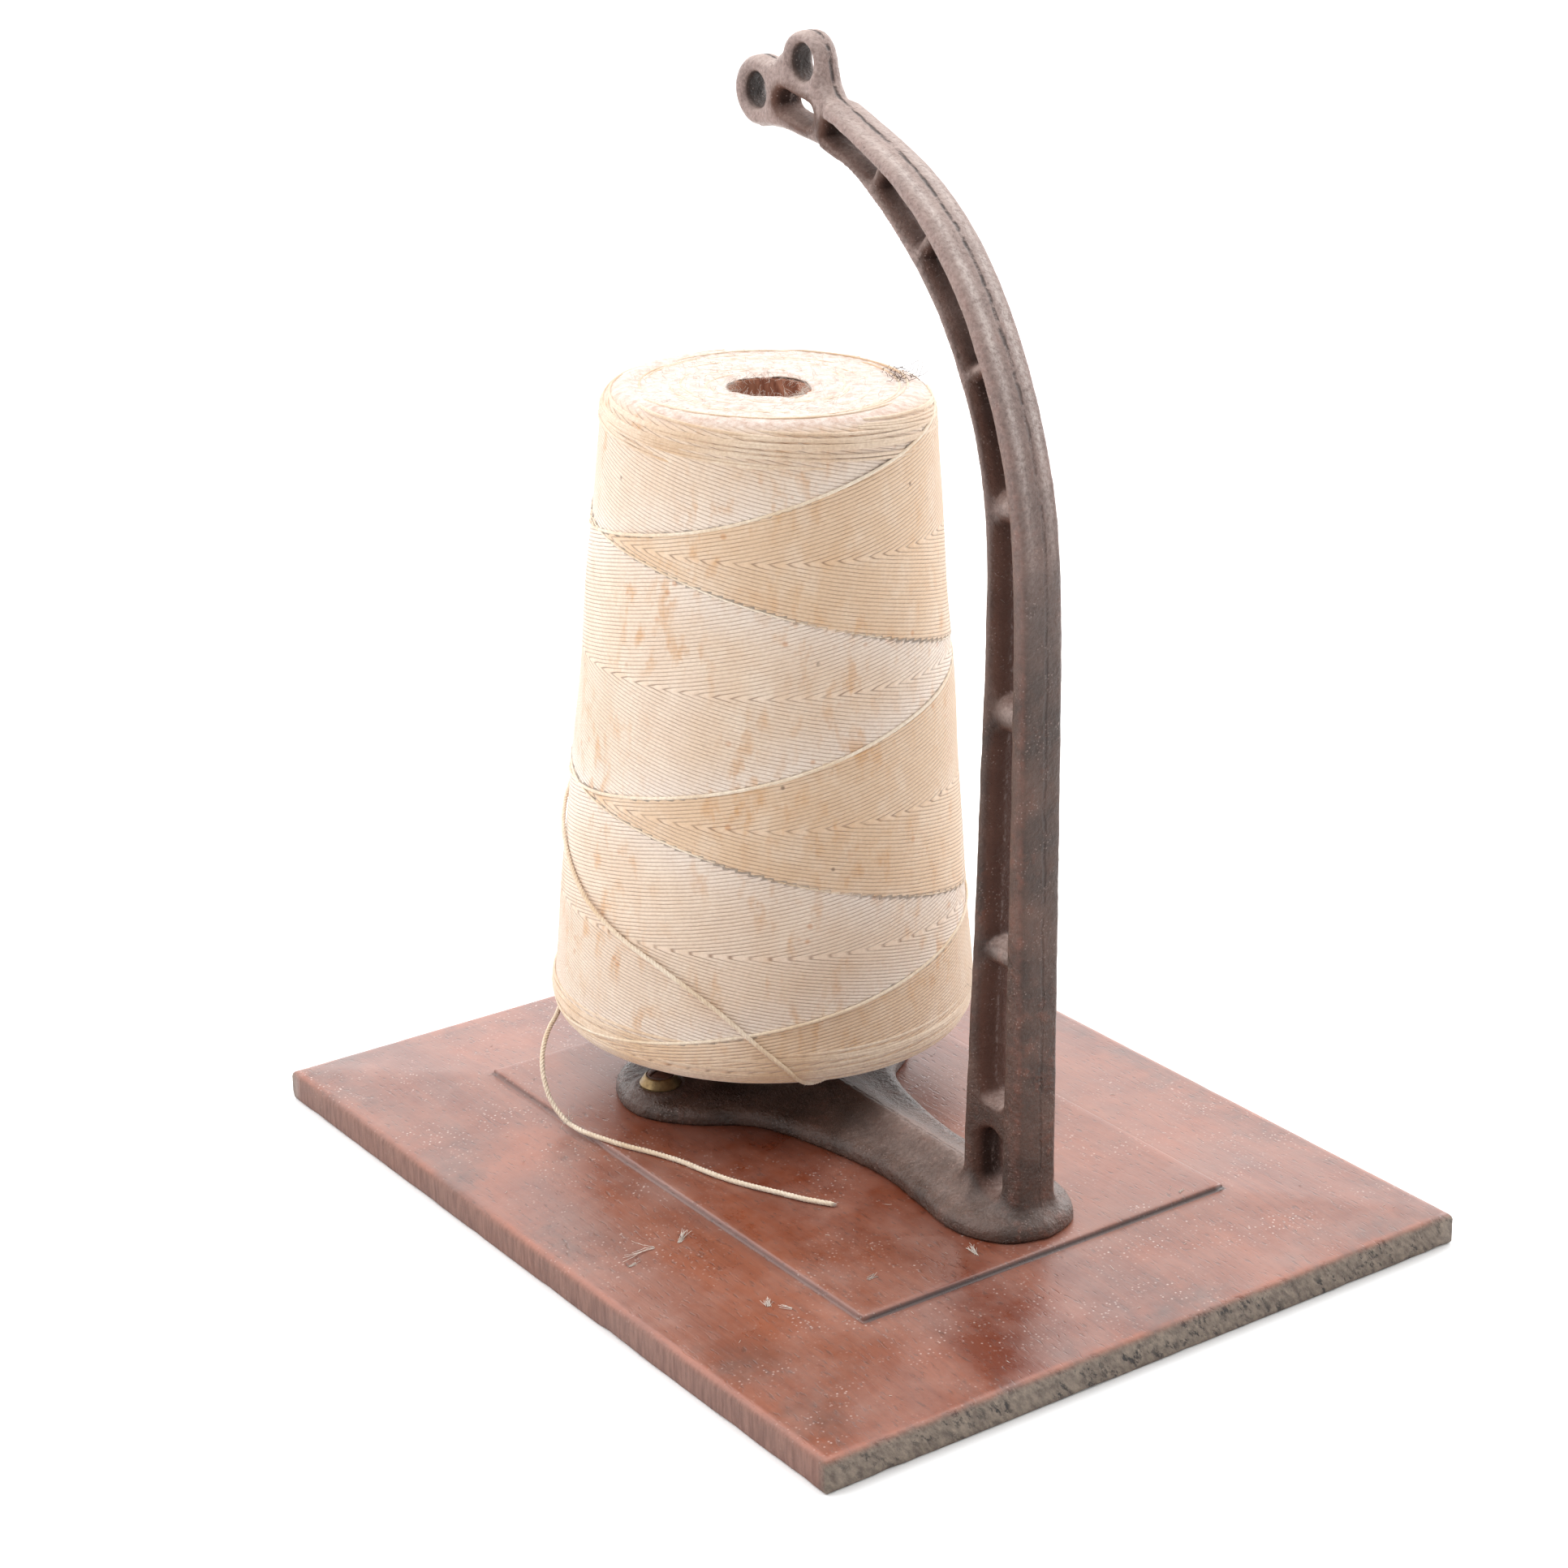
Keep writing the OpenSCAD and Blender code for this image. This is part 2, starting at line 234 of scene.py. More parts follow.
def area_light(name, place, target, size, power):
    data = bpy.data.lights.new(name, "AREA")
    data.shape, data.size, data.energy = "DISK", size, power
    o = link(name, data)
    o.location = place
    o.rotation_euler = (Vector(target) - Vector(place)).to_track_quat("-Z", "Y").to_euler()


bpy.context.scene.view_settings.view_transform = "Standard"
world = bpy.data.worlds.new("studio")
bpy.context.scene.world = world
world.use_nodes = True
sky = world.node_tree.nodes["Background"].inputs
# The studio is brightest behind the object and dimmest on the side it is seen from
way_in = node(world.node_tree, "ShaderNodeTexCoord").outputs["Generated"]
behind = node(world.node_tree, "ShaderNodeVectorMath", operation="DOT_PRODUCT")
feed(Value(way_in), behind.inputs[0])
feed((0.50, 0.85, 0.1), behind.inputs[1])
feed(level(Value(behind.outputs["Value"]), -0.55, 0.55, 0.62, 2.3), sky["Strength"])
feed((1, 1, 1), sky["Color"])
area_light("key", (-1.3, 0.5, 1.5), (0, 0, 0.12), 0.9, 9)
area_light("top", (0.2, 0.3, 1.7), (0, 0, 0.1), 1.2, 4.4)
area_light("right", (1.7, 0.25, 0.8), (0, 0, 0.2), 0.9, 7)

# ---- mesh helpers


def unit(x):
    """Limits x to 0 ... 1."""
    return np.clip(x, 0, 1)


def polar(r, turn, z):
    """Points at radius r, turned round the z axis, at height z."""
    return np.stack(np.broadcast_arrays(r * np.cos(turn), r * np.sin(turn), z), axis=-1)


def ring_faces(rings, n, closed=False, base=0):
    """Quads between rings of n points; closed joins the last ring to the first."""
    faces = []
    for i in range(rings if closed else rings - 1):
        low, high = base + i * n, base + (i + 1) % rings * n
        faces += [(low + k, low + (k + 1) % n, high + (k + 1) % n, high + k) for k in range(n)]
    return faces


def mesh_object(name, verts, faces, material):
    """Makes an object from millimetre points."""
    me = bpy.data.meshes.new(name)
    v = np.asarray(verts, dtype=np.float64) * MM
    me.from_pydata(v.tolist(), [], [list(map(int, f)) for f in faces])
    me.update()
    me.polygons.foreach_set("use_smooth", [True] * len(me.polygons))
    me.materials.append(material)
    return link(name, me)


def attribute(o, name, values):
    a = o.data.attributes.new(name, "FLOAT", "POINT")
    a.data.foreach_set("value", np.asarray(values, dtype=np.float32))


def placed(points, matrix=ON_SEAT):
    m = np.array(matrix)
    p = np.asarray(points, dtype=float)
    return p @ m[:3, :3].T + m[:3, 3]


def on_curve(P, u):
    """Points of the smooth line through P, at u in stretches from its start."""
    P = np.asarray(P, dtype=float)
    u = np.atleast_1d(np.asarray(u, dtype=float))
    n = len(P) - 1
    i = np.clip(np.floor(u).astype(int), 0, n - 1)
    t = (u - i)[:, None]
    a, b, c, d = P[np.maximum(i - 1, 0)], P[i], P[i + 1], P[np.minimum(i + 2, n)]
    return 0.5 * (2 * b + (c - a) * t + (2 * a - 5 * b + 4 * c - d) * t * t
                  + (3 * b - a - 3 * c + d) * t ** 3)


def run_along(line):
    """Length of the line up to each of its points."""
    return np.concatenate([[0], np.cumsum(np.linalg.norm(np.diff(line, axis=0), axis=1))])


def even_points(P, step):
    """The smooth line through P, as points step apart."""
    fine = on_curve(P, np.linspace(0, len(P) - 1, 40 * len(P)))
    run = run_along(fine)
    s = np.linspace(0, run[-1], max(3, int(round(run[-1] / step)) + 1))
    return np.stack([np.interp(s, run, fine[:, k]) for k in range(3)], axis=1), float(run[-1])


def frames_along(line, up=(0, 0, 1)):
    """Two side directions at each point of a line, turning as little as they can."""
    t = np.gradient(line, axis=0)
    t /= np.linalg.norm(t, axis=1)[:, None]
    side = np.zeros_like(t)
    last = np.cross(up, t[0])
    if np.linalg.norm(last) < 0.1:
        last = np.cross((1, 0, 0), t[0])
    for i in range(len(t)):
        last = last - t[i] * last.dot(t[i])
        last /= np.linalg.norm(last)
        side[i] = last
    return side, np.cross(t, side)


def tube(line, radius, sides, base=0):
    """Closed tube: vertices and faces, numbered from base. radius is one number or one for each point."""
    side, other = frames_along(line)
    r = np.broadcast_to(np.asarray(radius, dtype=float), (len(line),))
    a = np.arange(sides) * 2 * math.pi / sides
    spokes = np.cos(a)[None, :, None] * side[:, None, :] + np.sin(a)[None, :, None] * other[:, None, :]
    v = (line[:, None, :] + r[:, None, None] * spokes).reshape(-1, 3)
    f = ring_faces(len(line), sides, base=base)
    f.append([base + k for k in range(sides - 1, -1, -1)])
    f.append([base + (len(line) - 1) * sides + k for k in range(sides)])
    return v, f


class Heap:
    """Collects many small closed meshes into one."""

    def __init__(self):
        self.v, self.f, self.n = [], [], 0

    def tube(self, line, radius, sides=3):
        v, f = tube(line, radius, sides, self.n)
        self.v.append(v)
        self.f.extend(f)
        self.n += len(v)

    def build(self, name, material):
        return mesh_object(name, np.concatenate(self.v), self.f, material)


def twisted(line, strand_r, offset, pitch, plies=3, sides=7, wobble=0.06):
    """Plied twine along a line: each ply winds round it once in every pitch."""
    side, other = frames_along(line)
    run = run_along(line)
    heap = Heap()
    for k in range(plies):
        a = 2 * math.pi * (run / pitch + k / plies)
        w = 1 + wobble * np.sin(run * 1.7 + 2.1 * k) + wobble * np.sin(run * 0.63 + k)
        centre = line + (np.cos(a) * offset * w)[:, None] * side + (np.sin(a) * offset * w)[:, None] * other
        r = strand_r * (1 + 0.05 * np.sin(run * 2.9 + k))
        r[0] *= 0.7
        r[-1] *= 0.8
        heap.tube(centre, r, sides)
    return heap


def fibre(start, heading, length, bend, steps=5):
    """A short hair that bends at random."""
    p = [np.asarray(start, dtype=float)]
    d = np.asarray(heading, dtype=float)
    for _ in range(steps):
        d = d + rng.normal(0, bend, 3)
        d /= np.linalg.norm(d)
        p.append(p[-1] + d * length / steps)
    return np.array(p)


# ---- materials


def make_twine(name, light, dark, wound=False):
    """Cotton twine. The winding's threads come from its attributes; other pieces have real plies."""
    m, nt, sh = material(name)
    p = position(nt)
    fine = noise_tex(p, 900, 3, 0.6)
    warm = level(noise_tex(p, 26, 3, 0.6), 0.42, 0.66)
    if not wound:
        base = mixed(warm, light, dark)
        base = mixed(level(fine, 0.35, 0.75, 0, 0.4), base, (168, 134, 104))
        bump(sh, fine, 0.35, 0.0003)
    else:
        crown = attr(nt, "crown")
        base = mixed(attr(nt, "tone"), light, dark)
        base = mixed(warm * 0.22, base, (216, 180, 140))
        pale = level(noise_tex(position(nt, (1, 1, 0.7)), 75, 4, 0.65), 0.48, 0.70, 0, 0.45)
        base = mixed(pale, base, (236, 220, 202))
        # foxing: many small soft marks, longer up the cone than round it, in loose groups
        marks = noise_tex(position(nt, (1, 1, 0.5)), 190, 3, 0.55)
        where = noise_tex(p, 30, 3, 0.6)
        fox = level(marks, 0.51, 0.68) * level(where, 0.40, 0.62)
        base = mixed(fox * 0.66, base, (208, 158, 108))
        spot = level(cells(p, 120), 0.17, 0.08) * level(where, 0.50, 0.56)
        base = mixed(spot * 0.5, base, (196, 132, 80))
        speck = level(cells(p, 75), 0.075, 0.04) * level(noise_tex(p, 50, 1), 0.54, 0.58)
        base = mixed(speck * 0.75, base, (104, 78, 64))
        # threads: phase counts them, and their relief is a rounded ridge; the thin gaps between them are
        # painted darker as shade, widest and darkest near the chevron rings
        phase = attr(nt, "phase") + level(noise_tex(p, 160, 2), 0, 1, -0.12, 0.12)
        wave = calc("ABSOLUTE", calc("SINE", phase * math.pi))
        ply = calc("SINE", attr(nt, "along") * (2 * math.pi / 2.2) + phase * (2 * math.pi))
        knit = attr(nt, "knit")
        gap_shade = level(wave - knit * 0.12, 0.46, 0.05) * level(noise_tex(p, 150, 3, 0.6), 0.3, 0.6, 0.35, 1.0)
        gap_shade = gap_shade * level(crown, 0, 1, 1.0, 0.08)
        base = mixed(gap_shade * 0.66, base, mixed(knit, (146, 110, 86), (118, 84, 64)))
        base = mixed(level(fine, 0.45, 0.8, 0, 0.25), base, (184, 148, 116))
        # the crown is fluffy: pale felted cotton with brown flecks
        felt = mixed(level(noise_tex(p, 340, 5, 0.7), 0.36, 0.62), (219, 208, 202), (188, 160, 146))
        fleck = level(noise_tex(p, 700, 3, 0.6), 0.60, 0.70) * level(noise_tex(p, 90, 3), 0.42, 0.6)
        felt = mixed(fleck * 0.6, felt, (150, 108, 88))
        base = mixed(crown * 0.8, base, felt)
        height = (calc("POWER", wave, 0.6) + ply * 0.10) * level(crown, 0, 1, 1.0, 0.12)
        height = height + noise_tex(p, 420, 2, 0.5) * 0.5 + noise_tex(p, 300, 4, 0.6) * crown * 2.0
        bump(sh, height, 0.85, 0.0004)
    finish_shader(sh, Base_Color=base, Roughness=0.95, Specular_IOR_Level=0.12, Sheen_Weight=0.42,
                  Sheen_Roughness=0.5)
    return m


def make_iron():
    m, nt, sh = material("old_iron")
    p = position(nt)
    grit = noise_tex(p, 750, 4, 0.65)
    pits = noise_tex(p, 260, 5, 0.6)
    cloud = noise_tex(p, 55, 4, 0.6)
    base = mixed(level(cloud, 0.35, 0.68), (62, 46, 39), (96, 72, 62))
    rust = level(pits, 0.50, 0.68) * level(noise_tex(p, 32, 3), 0.42, 0.65)
    base = mixed(rust * 0.55, base, (118, 72, 56))
    base = mixed(attr(nt, "edge") * level(pits, 0.35, 0.65, 0.05, 0.5), base, (124, 82, 70))
    hollow = attr(nt, "hollow")
    base = mixed(hollow * 0.6, base, (110, 78, 68))
    # painted shade inside the slots and the eyes
    base = mixed(attr(nt, "painted_hole_shade") * 0.8, base, (30, 20, 17))
    # dust veil, thinned where shade is painted
    dusty = attr(nt, "dusty")
    veil = level(dusty, 0.95, 1.3, 0, 0.62) * level(grit, 0.3, 0.65, 0.4, 1.0)
    base = mixed(veil, base, (184, 160, 153))
    # dust settles where the surface looks up, and most of all on the arch, the rungs and the spine
    normal = Value(node(nt, "ShaderNodeNewGeometry").outputs["Normal"])
    dust = level(axis(normal, 2), 0.30, 0.97) * level(grit, 0.28, 0.66, 0.35, 1.0)
    dust = dust * level(noise_tex(p, 90, 4, 0.65), 0.3, 0.62, 0.45, 1.0)
    dust = calc("MULTIPLY", dust, dusty, clamp=True)
    dust = calc("MAXIMUM", dust, attr(nt, "rung") * level(grit, 0.3, 0.6, 0.25, 0.75))
    base = mixed(dust, base, (176, 156, 148))
    # the arch's shoulders get a painted highlight, partly pale dust and rubbed iron, and are less rough
    shoulder_dust_and_highlight = attr(nt, "shoulder_dust_and_highlight") * level(cloud, 0.34, 0.6, 0.25, 1.0)
    base = mixed(shoulder_dust_and_highlight * level(grit, 0.3, 0.6, 0.1, 0.62), base, (222, 210, 204))
    speck = level(cells(p, 820), 0.28, 0.12) * level(noise_tex(p, 130, 3), 0.46, 0.62)
    base = mixed(speck * 0.42, base, (176, 154, 146))
    wander = level(noise_tex(p, 90, 3, 0.6), 0, 1, -0.0014, 0.0014)
    line = calc("ABSOLUTE", axis(p, 0) + wander - (PLANE_X * MM + 0.0006))
    crack = level(line, 0.0009, 0.0002) * level(noise_tex(p, 210, 4, 0.65), 0.40, 0.54) * attr(nt, "seam")
    base = mixed(crack * 0.85, base, (38, 26, 23))
    # the flash left where the mould's halves met shows as a dusty line along the slots' walls
    flash = level(line, 0.0008, 0.0002) * level(noise_tex(p, 420, 3, 0.6), 0.50, 0.60)
    base = mixed(flash * hollow * 0.4, base, (150, 132, 126))
    rough = level(cloud, 0.3, 0.7, 0.36, 0.50) + dust * 0.3 - attr(nt, "rim") * 0.16 - shoulder_dust_and_highlight * 0.2
    finish_shader(sh, Base_Color=base, Roughness=rough, Specular_IOR_Level=level(hollow, 0, 0.8, 0.42, 0.08))
    bump(sh, grit * 0.6 + pits - crack * 1.8, 0.7, 0.0014)
    return m


def make_wood():
    m, nt, sh = material("board_wood")
    long_at = position(nt, (1, 0.28, 1))
    p = position(nt)
    figure = noise_tex(position(nt, (1, 0.16, 1)), 30, 5, 0.6, 0.6)
    streak = noise_tex(position(nt, (1, 0.045, 1)), 520, 4, 0.65)
    wear = noise_tex(p, 9, 5, 0.62)
    base = mixed(level(figure, 0.32, 0.68), (104, 48, 29), (136, 71, 44))
    base = mixed(level(streak, 0.42, 0.7, 0, 0.4), base, (88, 38, 27))
    orange = level(wear, 0.5, 0.68) * level(noise_tex(p, 28, 4), 0.4, 0.62)
    base = mixed(orange * 0.5, base, (172, 88, 46))
    pore = level(noise_tex(long_at, 900, 2, 0.5), 0.59, 0.72)
    base = mixed(pore * 0.48, base, (52, 27, 22))
    smudge = level(noise_tex(p, 24, 5, 0.7), 0.47, 0.68) * attr(nt, "margin")
    base = mixed(smudge * 0.75, base, (56, 42, 40))
    # dust: a thin film, thicker in the step's corner, and fine white specks
    film = level(noise_tex(p, 34, 5, 0.7), 0.38, 0.7) * 0.19 + attr(nt, "corner") * 0.08
    base = mixed(film, base, (196, 170, 160))
    speck = level(cells(p, 560), 0.27, 0.10) * level(noise_tex(p, 45, 4, 0.65), 0.47, 0.66)
    base = mixed(speck * 0.7, base, (206, 186, 178))
    # the step's face: dark dirt and painted shade
    base = mixed(attr(nt, "step_dirt_and_shade") * 0.88, base, (38, 24, 22))
    worn = attr(nt, "arris") * level(noise_tex(long_at, 90, 4), 0.35, 0.6)
    base = mixed(worn * 0.6, base, (172, 96, 66))
    # end grain: grey-brown, with black pores and slanting saw marks
    end = attr(nt, "end")
    slant = position(nt, (1, 1, 0.38), of=position(nt, turn=(0, 0.7, 0)))
    end_col = mixed(level(noise_tex(slant, 620, 5, 0.7), 0.35, 0.7), (92, 78, 68), (142, 127, 112))
    black = level(noise_tex(slant, 380, 4, 0.75), 0.52, 0.60) * level(noise_tex(p, 60, 3, 0.6), 0.38, 0.56)
    end_col = mixed(black * 0.92, end_col, (22, 16, 15))
    base = mixed(end, base, end_col)
    side = attr(nt, "side")
    sawn = noise_tex(position(nt, (1, 1, 0.12)), 700, 4, 0.65)
    side_col = mixed(level(sawn, 0.4, 0.65), (128, 94, 82), (98, 66, 56))
    base = mixed(side * 0.85, base, side_col)
    rough = level(wear, 0.3, 0.7, 0.24, 0.36) + film * 0.5
    rough = calc("ADD", rough, calc("MAXIMUM", end, side) * 0.4, clamp=True)
    finish_shader(sh, Base_Color=base, Roughness=rough, Specular_IOR_Level=0.74)
    bump(sh, streak * 0.4 - pore * 0.35 - black * end * 4.0, 0.35, 0.0006)
    return m


def make_metal(name, dark, light, tint, rough_lo, rough_hi, metallic, scale=300):
    """Old turned metal: two tones and tinted patches."""
    m, nt, sh = material(name)
    p = position(nt)
    n1 = noise_tex(p, scale, 5, 0.65)
    n2 = noise_tex(p, scale * 2.6, 3, 0.6)
    base = mixed(level(n1, 0.35, 0.68), dark, light)
    base = mixed(level(n2, 0.5, 0.72, 0, 0.6), base, tint)
    rough = level(n1, 0.3, 0.7, rough_lo, rough_hi)
    finish_shader(sh, Base_Color=base, Roughness=rough, Metallic=metallic)
    bump(sh, n2, 0.3, 0.0002)
    return m


def make_paper():
    m, nt, sh = material("core_paper")
    p = position(nt, (1, 1, 0.35))
    n1 = noise_tex(p, 420, 4, 0.6)
    n2 = noise_tex(p, 60, 3, 0.6)
    base = mixed(level(n1, 0.35, 0.65), (134, 86, 68), (186, 132, 108))
    base = mixed(level(n2, 0.45, 0.65, 0, 0.5), base, (198, 150, 122))
    finish_shader(sh, Base_Color=base, Roughness=0.9, Specular_IOR_Level=0.2)
    bump(sh, n1, 0.4, 0.0003)
    return m


def make_lint(name, a, b):
    m, nt, sh = material(name)
    n1 = noise_tex(position(nt), 600, 3, 0.6)
    finish_shader(sh, Base_Color=mixed(level(n1, 0.35, 0.65), a, b), Roughness=0.95, Specular_IOR_Level=0.1)
    bump(sh, n1, 0.2, 0.0001)
    return m


TWINE = make_twine("cotton_plied", (236, 222, 202), (218, 192, 160))
RIM_TWINE = make_twine("cotton_rim", (226, 206, 184), (208, 176, 144))
WOUND = make_twine("cotton_wound", (230, 216, 204), (220, 191, 162), True)
IRON = make_iron()
WOOD = make_wood()
PAPER = make_paper()
BRASS = make_metal("dull_brass", (118, 96, 66), (152, 130, 92), (92, 72, 50), 0.30, 0.46, 0.85)
RUST = make_metal("rusty_screw", (58, 38, 31), (104, 66, 50), (84, 70, 64), 0.45, 0.75, 0.35, 500)
STEEL = make_metal("peg_steel", (104, 98, 92), (160, 152, 146), (120, 92, 76), 0.32, 0.5, 0.8)
SEAT = make_metal("seat_iron", (48, 40, 37), (84, 72, 66), (96, 62, 48), 0.4, 0.6, 0.4)
PALE_LINT = make_lint("pale_lint", (226, 216, 206), (186, 172, 162))
GREY_LINT = make_lint("grey_lint", (150, 138, 132), (104, 92, 88))
DARK_LINT = make_lint("dark_lint", (74, 58, 52), (122, 100, 88))

# ---- the loose end: the free twine on the board

loose_line, loose_length = even_points(LOOSE, 0.55)
heap = twisted(loose_line, 0.56, 0.40, 4.2)
loose = heap.build("loose_twine", TWINE)
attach(loose, "stand")
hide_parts("loose_twine_end")
path = (loose_line[:: max(1, len(loose_line) // 70)] * MM).tolist()
if path[-1] != (loose_line[-1] * MM).tolist():
    path.append((loose_line[-1] * MM).tolist())

# ---- floor

floor_mat, floor_nt, floor_sh = material("pale_floor")
tone = level(noise_tex(position(floor_nt), 3, 2), 0.3, 0.7, 0, 0.3)
finish_shader(floor_sh, Base_Color=mixed(tone, (0.93, 0.93, 0.93), (0.9, 0.9, 0.9)), Roughness=0.85)
floor = mesh_object("floor", [(-6000, -6000, 0), (6000, -6000, 0), (6000, 6000, 0), (-6000, 6000, 0)],
                    [(0, 1, 2, 3)], floor_mat)

# ---- the iron casting, as a distance field


def edge_distance(poly, Y, Z):
    """Distance from each point to the outline, negative inside."""
    poly = np.asarray(poly, dtype=np.float32)
    best = np.full(Y.shape, 1e9, np.float32)
    inside = np.zeros(Y.shape, bool)
    j = len(poly) - 1
    for i in range(len(poly)):
        (ay, az), (by, bz) = poly[j], poly[i]
        ey, ez = by - ay, bz - az
        h = unit(((Y - ay) * ey + (Z - az) * ez) / (ey * ey + ez * ez + 1e-9))
        best = np.minimum(best, (Y - ay - ey * h) ** 2 + (Z - az - ez * h) ** 2)
        crosses = (az > Z) != (bz > Z)
        inside ^= crosses & (Y < ey * (Z - az) / (ez + (1e-9 if ez == 0 else 0)) + ay)
        j = i
    d = np.sqrt(best)
    return np.where(inside, -d, d)


def smin(a, b, k):
    h = unit(0.5 + 0.5 * (b - a) / k)
    return b + (a - b) * h - k * h * (1 - h)


def smax(a, b, k):
    return -smin(-a, -b, k)


def plate(flat, away, half, r):
    """A flat outline given thickness 2 x half, with its edges rounded to radius r."""
    u, w = flat + r, away - half + r
    return np.minimum(np.maximum(u, w), 0) + np.sqrt(np.maximum(u, 0) ** 2 + np.maximum(w, 0) ** 2) - r


def arm_point(s, k):
    return on_curve(OUTER, s) * (1 - k) + on_curve(INNER, s) * k


def band(s0, s1, k0, k1, n):
    s = np.linspace(s0, s1, n)
    return np.concatenate([arm_point(s, k0), arm_point(s[::-1], k1)])


def slot_outline(s0, s1):
    c = np.cos(np.linspace(0, np.pi, 25))
    s = s0 + (s1 - s0) * (0.5 - 0.5 * c)
    w = (INNER_PART - RAIL_PART) / 2 * (1 - np.abs(c) ** 4) ** 0.25
    lower = np.array([arm_point([a], MIDDLE - b)[0] for a, b in zip(s, w)])
    upper = np.array([arm_point([a], MIDDLE + b)[0] for a, b in zip(s, w)])
    return np.concatenate([lower, upper[-2:0:-1]])


VOX = 0.9               # size of the field's cells
EAR_X, EAR_Y = 47, 52.0         # the rear screws
HUB_R, HUB_H = 18, 18.1
EYE_LIP, EYE_FLAT = 3.55, 2.2   # the eyes' rounded mouths, and half the straight hole between them
gx = np.arange(cast_lo[0] - 3, cast_hi[0] + 3, VOX, dtype=np.float32)
gy = np.arange(cast_lo[1] - 3, cast_hi[1] + 3, VOX, dtype=np.float32)
gz = np.arange(FIELD_Z - 3, cast_hi[2] + 3, VOX, dtype=np.float32)
Y2, Z2 = np.meshgrid(gy, gz, indexing="ij")
away = np.abs(gx - PLANE_X)[:, None, None]
field_shape = (len(gx), len(gy), len(gz))

d_band = edge_distance(band(-0.3, 11.9, 0, 1, 90), Y2, Z2)
d_rail = edge_distance(band(-0.3, 11.95, 0, RAIL_PART, 90), Y2, Z2) - 0.4
d_inner = edge_distance(band(-0.3, 12, INNER_PART + 0.02, 1, 90), Y2, Z2)
d_slots = np.full(Y2.shape, 1e3, np.float32)
for s0, s1 in SLOTS:
    d_slots = np.minimum(d_slots, edge_distance(slot_outline(s0, s1), Y2, Z2))


def capsule2(cy, cz, half, r, turn):
    c, s = math.cos(math.radians(turn)), math.sin(math.radians(turn))
    u, w = (Y2 - cy) * c + (Z2 - cz) * s, -(Y2 - cy) * s + (Z2 - cz) * c
    return np.hypot(np.maximum(np.abs(u) - half, 0), w) - r


# Between the slots the web sinks to round bars
d_groove = edge_distance(band(1.3, 11.6, RAIL_PART, INNER_PART, 80), Y2, Z2)
bars = []
for (_, s0), (s1, _) in zip(SLOTS[:-1], SLOTS[1:]):
    low_end, high_end = arm_point(np.array([s0, s1]), MIDDLE)
    reach = np.linalg.norm(high_end - low_end)
    bars.append(((low_end + high_end) / 2, (high_end - low_end) / reach, reach / 2 + 0.5))
foot_slot = capsule2(-84.5, 36.3, 5.2, 7.8, 90)
d_slots = np.minimum(d_slots, foot_slot)
d_slots = np.minimum(d_slots, capsule2(21, 371, 6.6, 4.7, 12))
HEAD = [(-8, 369.2), (-3.2, 356.8), (6.9, 360), (30, 363), (42, 362.5), (33, 382.8), (22, 380),
        (8.6, 385), (7.1, 379.8), (4.9, 376.8), (1, 373.8)]
d_head = edge_distance(HEAD, Y2, Z2)
d_low_lobe = np.hypot(Y2 - LOWER_EYE[0] - 0.5, Z2 - LOWER_EYE[1] + 0.2) - 11.4
d_top_lobe = np.hypot(Y2 - UPPER_EYE[0] - 1.3, Z2 - UPPER_EYE[1] + 0.2) - 10.1
d_bridge = np.minimum(np.hypot(Y2 - 34.5, Z2 - 375) - 9.4, np.hypot(Y2 - 26.5, Z2 - 380.4) - 7.8)
d_head = smin(smin(d_head, d_bridge, 2), smin(d_low_lobe, d_top_lobe, 2), 2)

towards_head = unit((Y2 + 24) / 30)
rail_half = 8.3 - 1.0 * towards_head
web_half = 6.2 - 0.8 * towards_head
inner_half = 7.2 - 1.4 * towards_head
draft = 0.05 * away
rail = plate(d_rail[None] + draft, away, rail_half[None], 2.2)
web = plate(d_band[None] + 0.4, away, web_half[None], 2.2)
lip = plate(d_inner[None], away, inner_half[None], 1.8)
head = plate(d_head[None] + draft, away, 5.75, 3.6)
arm = smin(smin(rail, web, 1.6), lip, 1.4)
arm = smin(arm, head, 2.2)
# The slots narrow towards the middle of the web, and a little more on the far side
beyond = unit((gx - PLANE_X - 1) / 5)[:, None, None]
draw = 1.6 * (1 - unit(away / 6.2) ** 1.3) + 0.9 * beyond
arm = smax(arm, -(d_slots[None] + draw), 1.4)
bar = np.full(field_shape, 1e3, np.float32)
for (cy, cz), (ty, tz), half in bars:
    t = ((Y2 - cy) * ty + (Z2 - cz) * tz)[None]
    bar = np.minimum(bar, (np.sqrt((t / half) ** 2 + (away / 4.9) ** 2) - 1) * min(half, 4.9))
arm = smax(arm, -np.maximum(d_groove[None] + draw, -bar), 1.6)
for (ey, ez), r in EYES:
    u = np.clip(away - EYE_FLAT, 0, EYE_LIP - 0.05)
    mouth = EYE_LIP - np.sqrt(EYE_LIP ** 2 - u * u)
    arm = smax(arm, -((np.hypot(Y2 - ey, Z2 - ez) - r)[None] - mouth), 0.6)

X2, Yb = np.meshgrid(gx, gy, indexing="ij")
half_foot = on_curve(FOOT, np.linspace(0, len(FOOT) - 1, 71))
outline = np.concatenate([half_foot, half_foot[-2:0:-1] * [-1, 1]]) + [PLANE_X, 0]
d_foot = edge_distance(outline, X2, Yb)
wide = np.abs(X2 - PLANE_X)
Zc = gz[None, None, :]


def ground(top, slope=1.0):
    """The space under a height field."""
    return (Zc - top[:, :, None]) * slope


